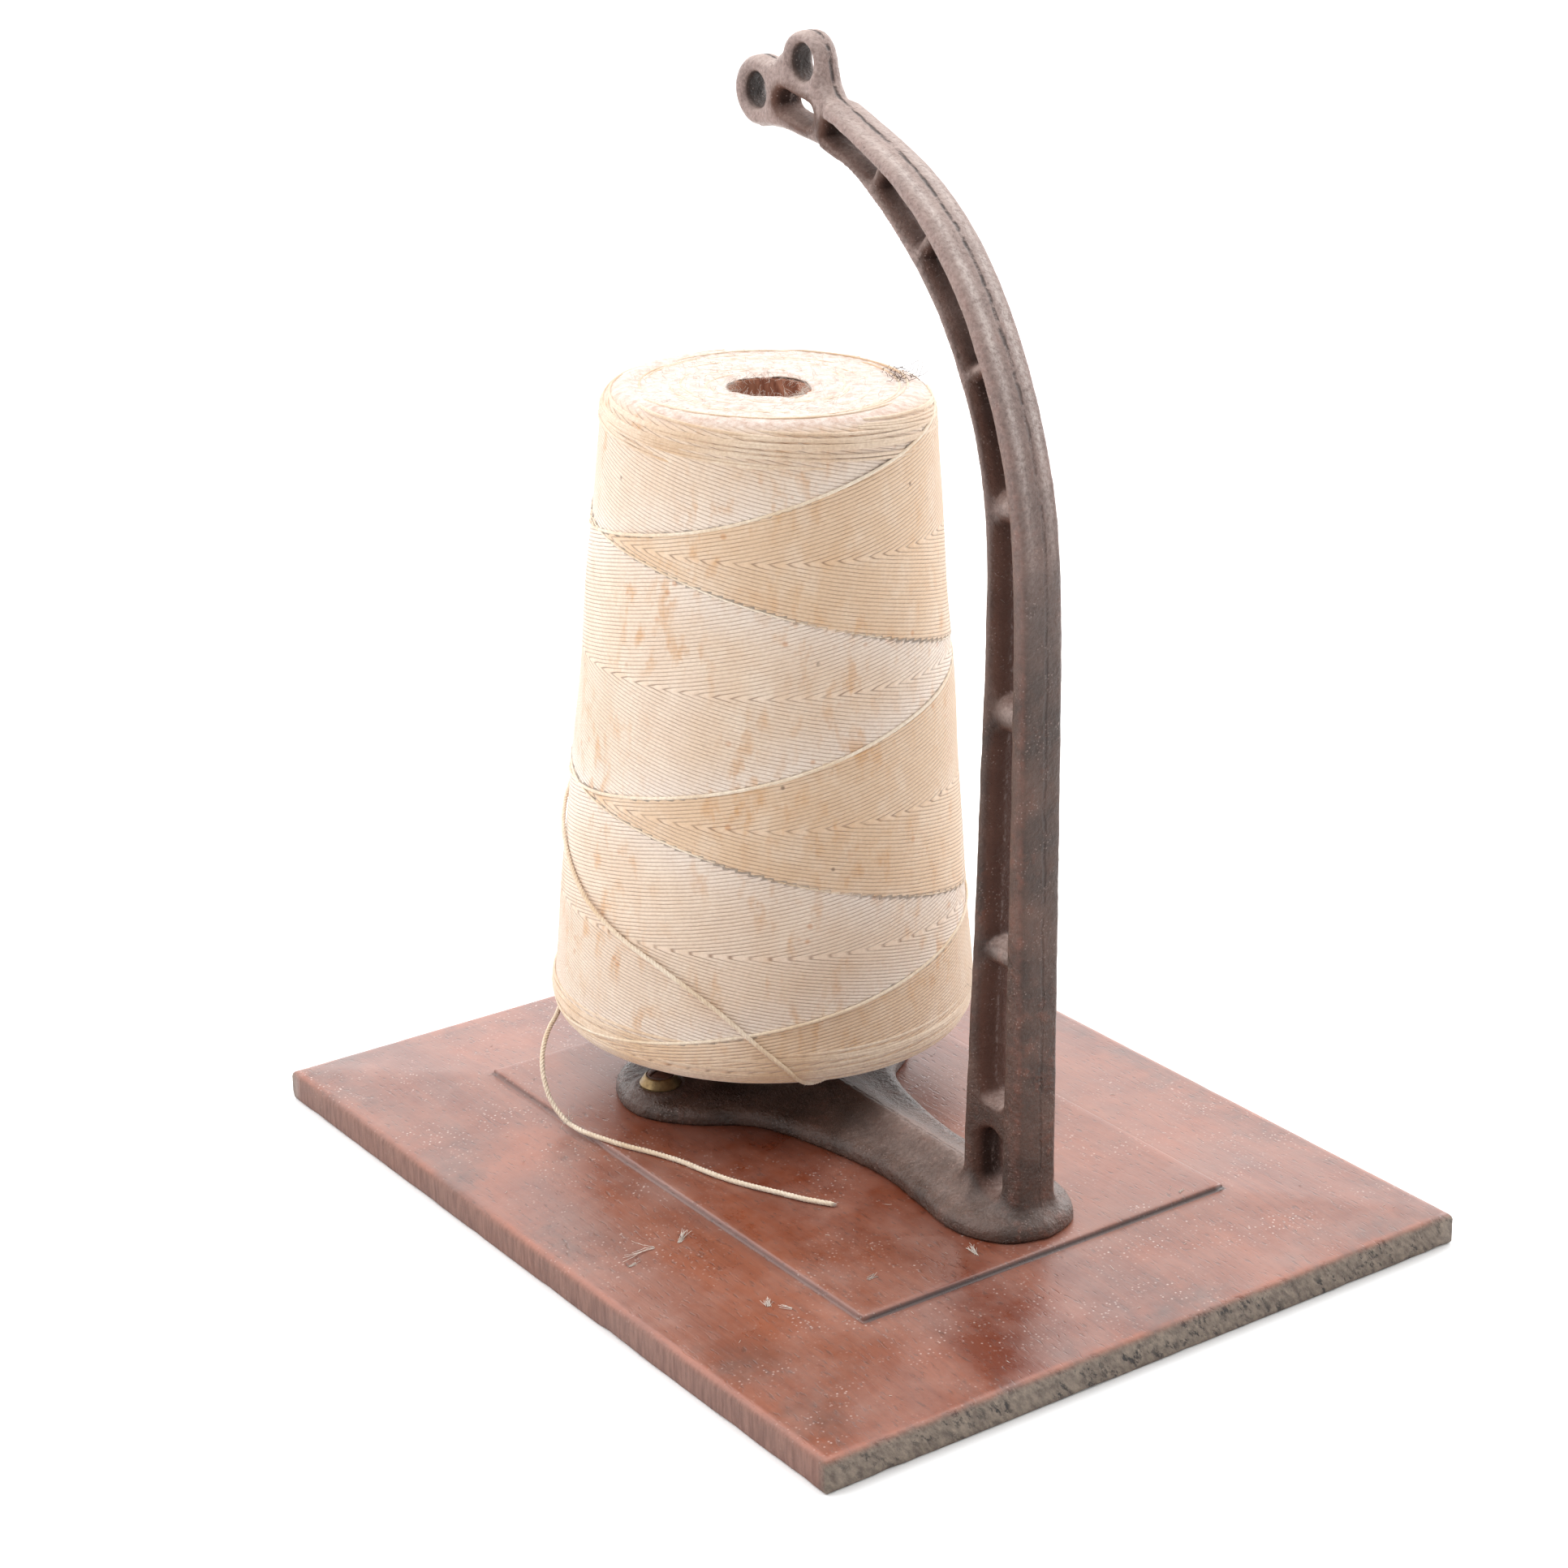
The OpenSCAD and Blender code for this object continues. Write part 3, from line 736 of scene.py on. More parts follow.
base = plate(d_foot[:, :, None], np.abs(Zc - (FIELD_Z + 0.9)), 5.4, 4.2)
crest = FIELD_Z + 12.4 + 2.6 * unit((Yb + 66) / 109)
half_w = np.interp(gy, [-109, -86, -66, -43, -23, 4, 20, 87], [10, 19, 17.5, 14.8, 16.2, 21, 26, 26])[None, :]
fall = (crest - FIELD_Z - 5.2) / np.maximum(half_w - 2, 4)
roof = crest - fall * np.sqrt(wide ** 2 + 3.0) - 0.35 * unit(1 - np.abs(wide / half_w - 0.55) * 2)
roof_part = ground(roof, 0.88)
roof_part = np.maximum(roof_part, (Yb - PEG_Y)[:, :, None])
roof_part = np.maximum(roof_part, (-92 - Yb)[:, :, None])
base = smin(base, np.maximum(roof_part, d_foot[:, :, None] + 1.5), 2.6)
lobe = np.sqrt((wide / 19.5) ** 2 + ((Yb + 86) / 19.5) ** 2)[:, :, None] ** 2 + ((Zc - FIELD_Z) / 11.8) ** 2
base = smin(base, (np.sqrt(lobe) - 1) * 12.0, 3.0)
for side in (-1, 1):
    ax, ay = PLANE_X + side * EAR_X, EAR_Y
    vx, vy = ax - PLANE_X, ay - PEG_Y
    t = unit(((X2 - PLANE_X) * vx + (Yb - PEG_Y) * vy) / (vx * vx + vy * vy))
    off = np.hypot(X2 - PLANE_X - t * vx, Yb - PEG_Y - t * vy)
    spine = FIELD_Z + 14.5 - 5.9 * t - (off / (13.5 - 3 * t)) ** 2 * 6.5
    base = smin(base, np.maximum(ground(spine, 0.8), d_foot[:, :, None] + 1.0), 2.4)
    pad = plate((np.hypot(X2 - ax, Yb - ay) - 10.2)[:, :, None], np.abs(Zc - FIELD_Z), 8.55, 1.6)
    base = smin(base, pad, 2.2)
    above = np.maximum((np.hypot(X2 - ax, Yb - ay) - 8.2)[:, :, None], FIELD_Z + 8.5 - Zc)
    base = smax(base, -above, 0.5)
hub = plate((np.hypot(X2 - PLANE_X, Yb - PEG_Y) - HUB_R)[:, :, None], np.abs(Zc - FIELD_Z), HUB_H, 1.4)
base = smin(base, hub, 2.2)
field = smin(arm, base, 5.5)
foot_hole = foot_slot[None] + draw * 1.2
field = np.maximum(field, FIELD_Z - Zc)
field = smax(field, -foot_hole, 1.3)
field = np.maximum(field, FIELD_Z - Zc).astype(np.float32)
field = np.broadcast_to(field, field_shape)

grid = openvdb.FloatGrid(3.0)
grid.copyFromArray(np.ascontiguousarray(np.clip(field, -3, 3)), tolerance=0.0)
grid.transform = openvdb.createLinearTransform(voxelSize=VOX)
points, tris, quads = grid.convertToPolygons(isovalue=0.0, adaptivity=0.0)
points = points + np.array([gx[0], gy[0], gz[0]])
corners = points[quads[:, :3]]
volume = np.einsum("ij,ij->i", corners[:, 0], np.cross(corners[:, 1], corners[:, 2])).sum()
if volume < 0:
    quads, tris = quads[:, ::-1], tris[:, ::-1]
faces = [tuple(q) for q in quads] + [tuple(t) for t in tris]
casting = mesh_object("iron_stand", points, faces, IRON)
normals = np.zeros(len(points) * 3, np.float32)
casting.data.vertices.foreach_get("normal", normals)
normals = normals.reshape(-1, 3)
lumps = np.array([noise.noise(Vector(q) / 7) * 0.16 + noise.noise(Vector(q) / 2.6 + Vector((9, 0, 0))) * 0.07
                  for q in points])
keep_flat = (points[:, 2] < FIELD_Z + 0.5) | (np.abs(points[:, 2] - FIELD_Z - 8.5) < 0.4)
lumps[keep_flat] = 0
inside_box = points + normals * lumps[:, None]
inside_box[:, 2] = np.minimum(inside_box[:, 2], cast_hi[2] + 0.1)
casting.data.vertices.foreach_set("co", (inside_box * MM).astype(np.float32).ravel())


def nearest(ticks, x):
    return np.clip(((x - ticks[0]) / VOX).round().astype(int), 0, len(ticks) - 1)


def lookup(plane, y, z):
    return plane[nearest(gy, y), nearest(gz, z)]


py, pz = points[:, 1], points[:, 2]
off_plane = np.abs(points[:, 0] - PLANE_X)
outer_skin = lookup(np.minimum(d_band, d_head), py, pz)
outward = lookup(d_inner, py, pz) > 6
seam = unit((outer_skin + 2.2) / 1.2) * outward * (pz > FIELD_Z + 9)
attribute(casting, "seam", seam * np.interp(pz, [60, 280, 320], [0.3, 0.4, 1]))
on_rail = unit(1 - np.abs(lookup(rail_half, py, pz) - 0.5 - off_plane) / 1.1)
edge = on_rail * unit((outer_skin + 5.5) / 3) * (pz > FIELD_Z + 12) * outward
attribute(casting, "edge", edge)
hollow = unit((3.4 - lookup(d_slots, py, pz)) / 3.0) * unit((7 - off_plane) / 2.5)
attribute(casting, "hollow", hollow * (pz > FIELD_Z + 6))
# painted shade in the slots: darkest deep in, lighter where a face looks up to the light
painted_hole_shade = unit((2.2 - lookup(d_slots, py, pz)) / 1.2) * unit((5.2 - off_plane) / 2.5)
painted_hole_shade = painted_hole_shade * np.interp(pz, [48, 56, 262, 305], [1, 0.25, 0.35, 1])
# The painted shade in each slot is darkest at its end nearest the head
top_end = np.zeros(len(points))
for _, s1 in SLOTS:
    ey, ez = arm_point(np.array([s1]), MIDDLE)[0]
    top_end = np.maximum(top_end, np.exp(-(np.hypot(py - ey, pz - ez) / 13) ** 2))
up_there = np.interp(pz, [262, 305], [0, 1])
# the eyes' holes get painted shade as well
in_eyes = np.zeros(len(points))
for (ey, ez), r in EYES:
    in_eye = unit((r + 1.2 - np.hypot(py - ey, pz - ez)) / 1.2) * unit((4.4 - off_plane) / 1.8)
    in_eyes = np.maximum(in_eyes, in_eye)
painted_hole_shade = np.maximum(painted_hole_shade, in_eyes * 0.95)
lit = np.clip((normals[:, 2] - 0.35) * 2.2, 0, 0.9) * (1 - 0.75 * np.maximum(up_there * top_end, in_eyes))
attribute(casting, "painted_hole_shade", painted_hole_shade * (pz > FIELD_Z + 6) * (1 - lit))
# painted shade under the cone: the dust is thinned near the hub, so the foot shows darker there
cone_shade = unit((78 - np.hypot(points[:, 0] - PLANE_X, py - PEG_Y)) / 14) * (pz < 60)
on_spine = unit(1 - off_plane / 5) * (pz > FIELD_Z + 8)
# less dust in the slots, and far less at their ends nearest the head and in the eyes, so their painted shade
# stays dark
dusty_arm = np.interp(pz, [200, 340], [0.95, 1.3]) - 0.30 * hollow * (pz > 120)
dusty_arm = dusty_arm - hollow * up_there * (0.25 + 0.6 * top_end) - 1.0 * in_eyes
dusty = np.where(pz < 45, 0.42 + 0.35 * on_spine, np.maximum(dusty_arm, 0.1))
foot_edge = unit((d_foot[nearest(gx, points[:, 0]), nearest(gy, py)] + 7) / 4) * (pz < FIELD_Z + 9)
# painted highlight along the arch's shoulders, partly dust, only up the arch
shoulder_dust_and_highlight = unit(1 - np.abs(off_plane - 4.2) / 2.3) * unit((outer_skin + 1.8) / 1.2) * outward
shoulder_dust_and_highlight = shoulder_dust_and_highlight * np.interp(pz, [235, 290, 358, 372], [0, 1, 1, 0.3])
attribute(casting, "shoulder_dust_and_highlight", shoulder_dust_and_highlight)
attribute(casting, "rim", foot_edge)
attribute(casting, "dusty", np.clip(dusty * (1 - 0.85 * cone_shade) * (1 - 0.5 * foot_edge), 0, 1.3))
rung = np.zeros(len(points))
for (cy, cz), (ty, tz), half in bars:
    along_arm = (py - cy) * ty + (pz - cz) * tz
    across_arm = (py - cy) * tz - (pz - cz) * ty
    spread = ((along_arm - 1.2) / (0.75 * half)) ** 2 + ((across_arm + 1.5) / 5.5) ** 2
    rung = np.maximum(rung, np.exp(-spread))
rung = rung * unit(0.55 + normals[:, 2]) * (lookup(d_groove, py, pz) < 0.8)
attribute(casting, "rung", rung * (off_plane < 5.6))
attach(casting, "stand")
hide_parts("stand_casting")

# ---- the board

half_x, half_y = board_hi[0] + 0.5, board_hi[1] + 0.2
EDGE_T, STEP, MARGIN = 11.2, 1.8, 54.6
NX, NY = 44, 56
ticks_x = np.linspace(-1, 1, NX + 1)
ticks_y = np.linspace(-1, 1, NY + 1)
loop = ([(a, -1) for a in ticks_x[:-1]] + [(1, b) for b in ticks_y[:-1]]
        + [(a, 1) for a in ticks_x[:0:-1]] + [(-1, b) for b in ticks_y[:0:-1]])
loop = np.array(loop)
slope = (FIELD_Z - STEP - EDGE_T) / MARGIN
# Rings from the underside out, up and in: inset, height, step dirt and painted shade, arris, wall
RINGS = [(3, 0, 0, 0, 0), (1, 0, 0, 0, 1), (0.35, 0.25, 0, 0, 1), (0, 0.9, 0, 0, 1), (0, 2.8, 0, 0, 1),
         (0, 5, 0, 0, 1), (0, 7.2, 0, 0, 1), (0, 9, 0, 0.2, 1), (0.25, 10.1, 0, 0.9, 0.8),
         (0.9, 10.9, 0, 1, 0.3), (1.9, 11.3, 0, 0.8, 0), (3.2, 11.2 + 3.2 * slope, 0, 0.2, 0)]
for inset in (8, 16, 25, 35, 45, 51):
    RINGS.append((inset, EDGE_T + inset * slope, 0, 0, 0))
RINGS += [(53.3, EDGE_T + 53.3 * slope - 0.02, 0.1, 0, 0), (54.1, EDGE_T + 54.1 * slope - 0.15, 0.9, 0, 0),
          (54.62, 15.6, 1, 0, 0), (54.75, 16.3, 0.5, 0, 0), (55.1, 16.72, 0.12, 0.15, 0),
          (55.9, 16.88, 0, 0.1, 0), (57.5, 16.9, 0, 0, 0)]
verts, marks = [], {"step_dirt_and_shade": [], "arris": [], "end": [], "side": [], "margin": [], "corner": []}
for inset, z, step_dirt_and_shade, arris, wall in RINGS:
    ring = np.column_stack([loop * [half_x - inset, half_y - inset], np.full(len(loop), float(z))])
    at_end = np.abs(loop[:, 1]) > 0.999
    at_side = np.abs(loop[:, 0]) > 0.999
    # the step's painted shade is weaker on the side that faces the light
    lit_side_less_shade = np.where(at_side & (loop[:, 0] < 0), 0.55, 1.0)
    for k in range(len(ring)):
        q = Vector(ring[k]) / 9
        if wall:
            chip = max(0, noise.noise(q * 3.1) - 0.12) * (1.6 if z < 1.5 else 0.5)
            ring[k, 1] -= np.sign(loop[k, 1]) * chip * at_end[k]
            ring[k, 0] -= np.sign(loop[k, 0]) * chip * 0.6 * at_side[k]
    verts.append(ring)
    margin = 0.22 + 0.78 * min(max((22 - inset) / 16, 0), 1) if inset < 52 else 0.12
    in_corner = math.exp(-((inset - 53) / 3.5) ** 2) * (1 - step_dirt_and_shade)
    for key, value in (("step_dirt_and_shade", step_dirt_and_shade * lit_side_less_shade), ("arris", arris), ("end", at_end * wall),
                       ("side", (at_side & ~at_end) * wall), ("margin", margin), ("corner", in_corner)):
        marks[key].append(np.broadcast_to(value, len(loop)))
n_loop = len(loop)
faces = ring_faces(len(RINGS), n_loop)
faces.append(list(range(n_loop - 1, -1, -1)))
last = (len(RINGS) - 1) * n_loop
inset = RINGS[-1][0]
inner_id = {}
for k, (a, b) in enumerate(loop):
    inner_id[(round((a + 1) * NX / 2), round((b + 1) * NY / 2))] = last + k
count = len(RINGS) * n_loop
fill = []
for i in range(1, NX):
    for j in range(1, NY):
        inner_id[(i, j)] = count + len(fill)
        fill.append((ticks_x[i] * (half_x - inset), ticks_y[j] * (half_y - inset), FIELD_Z))
for i in range(NX):
    for j in range(NY):
        faces.append((inner_id[(i, j)], inner_id[(i + 1, j)], inner_id[(i + 1, j + 1)], inner_id[(i, j + 1)]))
verts = np.concatenate(verts + [np.array(fill)])
board = mesh_object("wooden_board", verts, faces, WOOD)
for key, values in marks.items():
    attribute(board, key, np.concatenate(values + [np.full(len(fill), 0.12 if key == "margin" else 0.0)]))
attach(board, "stand")
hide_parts("base_board")

# ---- the cone of twine

PITCH, HALF_LEAD = 1.35, 45.4
TURN_AT = math.radians(165)      # where the crossing lines meet on one side; half a turn on, on the other
FIRST_RING = 227.3               # height of a chevron ring that passes through the crossing at TURN_AT
THREADS = 66                     # threads passed on the way once round at one height
CROWN = 8.5                      # radius of the rounded top edge


def settled(z):
    """Heights near the foot, where the turns lie closer, mapped on to even spacing."""
    return z - 4.5 * unit((95 - z) / 48)


def crossing_share(turn):
    """How far a crossing line has climbed from one ring to the next: 0 at no turn, 1 at half a turn."""
    turn = np.abs(np.mod(turn + np.pi, 2 * np.pi) - np.pi)
    return 0.25 * (1 - np.cos(turn)) + 0.5 * turn / np.pi


def boundary_height(theta, z):
    """Rings below and above a point, the crossing line's height between them, and the lower ring's number."""
    k = np.floor((z - FIRST_RING) / HALF_LEAD)
    low = FIRST_RING + k * HALF_LEAD
    share = crossing_share(theta - TURN_AT)
    share = np.where(np.mod(k, 2) == 0, share, 1 - share)
    return low, low + HALF_LEAD, low + share * HALF_LEAD, k


def wound_radius(z):
    """Radius of the winding's skin at height z."""
    r = WIND_R0 - TAPER * (z - WIND_Z)
    foot = np.clip(WIND_Z + WIND_EDGE - z, 0, WIND_EDGE)
    top = np.clip(z - (WIND_TOP - CROWN), 0, CROWN)
    r = r - (WIND_EDGE - np.sqrt(WIND_EDGE ** 2 - foot ** 2)) * 0.97
    return r - (CROWN - np.sqrt(np.maximum(CROWN ** 2 - top ** 2, 0))) * 0.95


def thread_marks(theta, z):
    """Thread number, tone (0 white, 1 tan) and nearness to a chevron ring."""
    z = settled(z)
    low, high, cut, k = boundary_height(theta, z)
    above = z < cut
    phase = np.where(above, (z - low) / PITCH, (high - z) / PITCH) - THREADS * theta / (2 * np.pi)
    tan_cell = np.mod(np.where(above, k, k + 1), 2) == 0
    near = np.minimum(np.abs(z - cut) / 15.0, 1)
    tone = np.where(tan_cell, 1.0, 0.05 + 0.5 * near)
    knit = unit(1 - np.minimum(z - low, high - z) / 1.8)
    return phase, tone, knit


COLS = 400      # points in each ring of the winding
theta = np.linspace(0, 2 * np.pi, COLS, endpoint=False)
RIM_R = float(wound_radius(np.array([WIND_TOP]))[0])
rows = [("foot", r) for r in np.linspace(33.2, WIND_R0 - WIND_EDGE - 0.6, 16)]
rows += [("wall", z) for z in WIND_Z + WIND_EDGE * (1 - np.cos(np.linspace(0.12, np.pi / 2, 14)))]
rows += [("wall", z) for z in np.arange(WIND_Z + WIND_EDGE + 1, WIND_TOP - CROWN - 0.5, 1.02)]
rows += [("wall", z) for z in WIND_TOP - CROWN + (CROWN - 0.05) * np.sin(np.linspace(0, np.pi / 2, 11))]
rows += [("top", r) for r in np.linspace(RIM_R - 0.6, CORE_R1 + 0.4, 32)]
SINK = 0.9      # how far the top face and its rim lie below the plain form


def crown_height(r, theta):
    """The top face: a soft, slightly uneven crown that dips into the core's mouth."""
    inward = unit((RIM_R - r) / (RIM_R - CORE_R1 - CORE_WALL))
    uneven = 0.35 * np.sin(2 * theta + 1) + 0.2 * np.sin(3 * theta + r / 9) + 0.15 * np.sin(7 * theta - r / 5)
    return WIND_TOP - SINK * np.minimum(inward * 6, 1) + uneven * inward - 0.9 * inward ** 10


table = []


def add_ring(r, z, phase, tone, knit=0, crown=0):
    """One ring of the winding: its points, then phase, tone, length round the cone, knit and crown."""
    marks = [np.broadcast_to(m, COLS) for m in (phase, tone, r * theta, knit, crown)]
    table.append(np.column_stack([polar(r, theta, z), *marks]))


for kind, value in rows:
    knit = crown = 0
    r = np.full(COLS, value)
    if kind == "wall":
        z = np.full(COLS, value)
        r = wound_radius(z)
        phase, tone, knit = thread_marks(theta, z)
        rim = unit((z - (WIND_TOP - 13)) / 8) + unit((WIND_Z + 15 - z) / 7)
        tone = tone * (1 - rim) + rim * (0.7 if value > 150 else 1.15)
        crown = unit((z - (WIND_TOP - 4)) / 3)
        swell = 0.25 * np.sin(3 * theta + z / 17) + 0.18 * np.sin(7 * theta - z / 9)
        _, _, cut, k = boundary_height(theta, settled(z))
        swell = swell + 0.35 * np.where(np.mod(np.where(settled(z) < cut, k, k + 1), 2) == 0, 1, -0.3)
        r = r + swell * (1 - 0.5 * unit(rim)) - 0.1
        z = z - SINK * 0.5 * unit((z - (WIND_TOP - 4)) / 4)
    elif kind == "foot":
        z = WIND_Z + 0.25 * np.sin(5 * theta + value)
        phase = (value + 0.7 * np.sin(3 * theta)) / 1.9
        tone = 1
    else:
        z = crown_height(r, theta) - SINK * 0.5 * (1 - unit((RIM_R - r) / 6))
        lumpy = [noise.noise(Vector((value * math.cos(a), value * math.sin(a), 3)) / 3.0) for a in theta]
        z = z + 0.28 * np.array(lumpy)
        phase = (value + 1.6 * np.sin(2 * theta + 0.7) + 0.8 * np.sin(5 * theta)) / 2.3
        tone, crown = 0.35, 1
    add_ring(r, z, phase, tone, knit, crown)
inner_foot = CORE_R0 + CORE_WALL - TAPER * (WIND_Z - CORE_Z)
inner_top = inner_foot - TAPER * WIND_H
add_ring(inner_top + 0.05, WIND_TOP - 2.2, 0, 0.9)
add_ring(inner_foot + 0.05, WIND_Z + 0.4, 0, 0.9)
table = np.concatenate(table)
faces = ring_faces(len(rows) + 2, COLS, closed=True)
winding = mesh_object("twine_package", placed(table[:, :3]), faces, WOUND)
for name, column in (("tone", 4), ("knit", 6), ("crown", 7)):
    attribute(winding, name, table[:, column])
# Each face has its own copy of the phase, which jumps by a whole number of threads where the turn closes
wrap = winding.data.attributes.new("phase", "FLOAT", "CORNER")
run = winding.data.attributes.new("along", "FLOAT", "CORNER")
loop_vert = np.zeros(len(winding.data.loops), np.int32)
winding.data.loops.foreach_get("vertex_index", loop_vert)
per_face = loop_vert.reshape(-1, 4)
closing = (per_face % COLS == COLS - 1).any(axis=1)
at_zero = (per_face % COLS == 0) & closing[:, None]
kind_of = np.array([("foot", "wall", "top").index(k) for k, _ in rows] + [3, 3])[per_face // COLS]
ph = table[per_face, 3]
ph = np.where(at_zero & (kind_of == 1), ph - THREADS, ph)
# No threads are counted across the joint between the wall and the faces above and below it
ph[(kind_of != kind_of[:, :1]).any(axis=1)] = 0.5
around = 2 * np.pi * np.linalg.norm(table[:, :2], axis=1)[per_face]
al = table[per_face, 5] + np.where(at_zero, around, 0)
wrap.data.foreach_set("value", ph.astype(np.float32).ravel())
run.data.foreach_set("value", al.astype(np.float32).ravel())
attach(winding, "twine_cone")
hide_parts("twine_winding")


def on_skin(turn, z, proud):
    return placed(polar(wound_radius(z) + proud, turn, z))


# The threads that lie on top along the crossing lines, prouder where they climb to the right
heap = Heap()
for k in range(-5, 2):
    t = np.linspace(0, 2 * np.pi, 300)
    climb = np.sin(t) * (1 if k % 2 == 0 else -1)
    share = crossing_share(t) if k % 2 == 0 else 1 - crossing_share(t)
    z = FIRST_RING + HALF_LEAD * (k + share) + 0.25 * np.sin(t * 5 + k)
    z = z + 4.5 * unit((95 - z) / 52)
    thick = 0.50 + 0.13 * np.tanh(3 * climb)
    lift = 0.02 + 0.16 * np.tanh(3 * climb) + 0.05 * np.sin(t * 9)
    ok = (z > WIND_Z + 5) & (z < WIND_TOP - 2.5)
    runs = np.split(np.arange(len(t)), np.where(~ok)[0])
    for run in runs:
        run = run[ok[run]]
        if len(run) > 12:
            heap.tube(on_skin(t[run] + TURN_AT, z[run], lift[run]), thick[run], 6)
crossing = heap.build("crossing_threads", TWINE)
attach(crossing, "twine_cone")

# Looser turns that slope down over the top rim, and lie round the foot rim
heap = Heap()
for k in range(64):
    at_top = k < 38
    start = rng.uniform(0, 2 * np.pi)
    if at_top:
        sweep = rng.uniform(1.3, 3.0)
        t = np.linspace(0, sweep, int(44 * sweep))
        z = WIND_TOP - 1.2 - rng.uniform(0, 5) - rng.uniform(5, 13) * (t / sweep) ** 1.15
    else:
        sweep = rng.uniform(1.8, 4.4)
        t = np.linspace(0, sweep, int(40 * sweep))
        z = WIND_Z + rng.uniform(1.4, 14) + rng.uniform(-1.0, 3.2) * t / sweep + 0.4 * np.sin(t * 1.3 + k)
        z = np.maximum(z, WIND_Z + 2.6)
    ends = unit(np.minimum(t, sweep - t) / 0.18)
    lift = -0.2 - 0.8 * (1 - ends) + 0.10 * np.sin(t * 7 + k)
    heap.tube(on_skin(t + start, z, lift), 0.56 + 0.12 * rng.random(), 6)
rims = heap.build("rim_strands", RIM_TWINE)
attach(rims, "twine_cone")

# Turns that show on the top face
heap = Heap()
for k in range(40):
    r0 = RIM_R - 1 - 30 * rng.random() ** 1.6
    sweep = rng.uniform(0.5, 1.6)
    t = np.linspace(0, sweep, int(36 * sweep)) + rng.uniform(0, 2 * np.pi)
    r = np.minimum(r0 + rng.uniform(-4, 4) * np.sin((t - t[0]) * 0.8), RIM_R - 0.3)
    ends = unit(np.minimum(t - t[0], t[-1] - t) / 0.15)
    heap.tube(placed(polar(r, t, crown_height(r, t) - 0.40 - 0.7 * (1 - ends))), 0.56, 6)
tops = heap.build("top_strands", RIM_TWINE)
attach(tops, "twine_cone")

# The paper tube inside, with a worn mouth
CORE_SIDES = 72
rings = []
for r, z in [(CORE_R0, 0), (CORE_R0 + CORE_WALL, 0), (CORE_R1 + CORE_WALL, CORE_H - 1.7),
             (CORE_R1 + CORE_WALL - 0.5, CORE_H - 1.3), (CORE_R1 + 0.4, CORE_H - 1.3),
             (CORE_R1, CORE_H - 1.8), (CORE_R1 + TAPER * 40, CORE_H - 40)]:
    t = np.linspace(0, 2 * np.pi, CORE_SIDES, endpoint=False)
    fray = rng.normal(0, 0.12, CORE_SIDES) if z > CORE_H - 3 else 0
    rings.append(polar(r, t, CORE_Z + z - 0.5 + 0.5 * (z == 0) + fray))
faces = ring_faces(len(rings), CORE_SIDES, closed=True)
core = mesh_object("paper_tube", placed(np.concatenate(rings)), faces, PAPER)
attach(core, "twine_cone")
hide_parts("paper_core")

# The outermost strand, plied, from the far side of the winding to under its foot
FOOT_EDGE_R = WIND_R0 - WIND_EDGE - 1


def skin_r(z, lay):
    d = WIND_Z + WIND_EDGE - z
    if d <= 0:
        return WIND_R0 - TAPER * (z - WIND_Z) + lay
    return FOOT_EDGE_R + math.sqrt((WIND_EDGE + lay) ** 2 - d * d)


def skin_z(r, lay):
    d = max(r - FOOT_EDGE_R, 0)
    return WIND_Z + WIND_EDGE - math.sqrt((WIND_EDGE + lay) ** 2 - d * d)


LAY = 1.05      # how far the strand's middle is above the winding's skin
strand_points = [polar(skin_r(z, LAY), math.radians(a), z) for a, z in STRAND]
strand_points += [polar(r, math.radians(a), skin_z(r, LAY)) for a, r in UNDER]
strand_line, _ = even_points(strand_points, 0.7)
heap = twisted(placed(strand_line), 0.52, 0.36, 4.4)
strand = heap.build("outer_strand", TWINE)
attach(strand, "twine_cone")
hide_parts("outer_twine_strand")

# Fuzz on the winding
heap = Heap()
for k in range(700):
    a, z = rng.uniform(0, 2 * np.pi), rng.uniform(WIND_Z + 6, WIND_TOP - 2)
    if k % 3 == 0:
        z = rng.choice([rng.uniform(WIND_TOP - 14, WIND_TOP - 2), rng.uniform(WIND_Z + 3, WIND_Z + 16)])
    r = float(wound_radius(np.array([z]))[0])
    out = polar(1, a, 0)
    way = np.array([-math.sin(a), math.cos(a), rng.normal(0, 0.3)]) * rng.choice([-1, 1])
    way = way + out * rng.uniform(0.1, 0.7)
    heap.tube(placed(fibre(out * (r - 0.3) + [0, 0, z], way, rng.uniform(1.5, 4.5), 0.25)), 0.045)
for _ in range(700):
    a, r = rng.uniform(0, 2 * np.pi), rng.uniform(16, RIM_R)
    way = (-math.sin(a), math.cos(a), rng.uniform(0.05, 0.4))
    start = polar(r, a, float(crown_height(r, a)) - 0.1)
    heap.tube(placed(fibre(start, way, rng.uniform(1.5, 4.5), 0.35)), 0.045)
for _ in range(260):
    a = rng.uniform(0, 2 * np.pi)
    way = polar(-0.8, a, rng.uniform(-0.3, 0.5))
    heap.tube(placed(fibre(polar(CORE_R1 + 1, a, WIND_TOP - 1.9), way, rng.uniform(2, 5), 0.35)), 0.05)
fuzz = heap.build("cotton_fuzz", PALE_LINT)
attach(fuzz, "twine_cone")

# Dark lint on the top rim
heap = Heap()
for k in range(46):
    a = math.radians(rng.uniform(-28, -8))
    r = rng.uniform(42, WIND_R1 - 5)
    way = (math.sin(a), -math.cos(a), 0.12 * rng.normal())
    heap.tube(placed(fibre(polar(r, a, WIND_TOP + 0.3), way, rng.uniform(3, 9), 0.3, 6)), 0.1)
lint_top = heap.build("dark_lint_on_cone", DARK_LINT)
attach(lint_top, "twine_cone")

# ---- dust, lint and fluff on the board and the casting

heap = Heap()


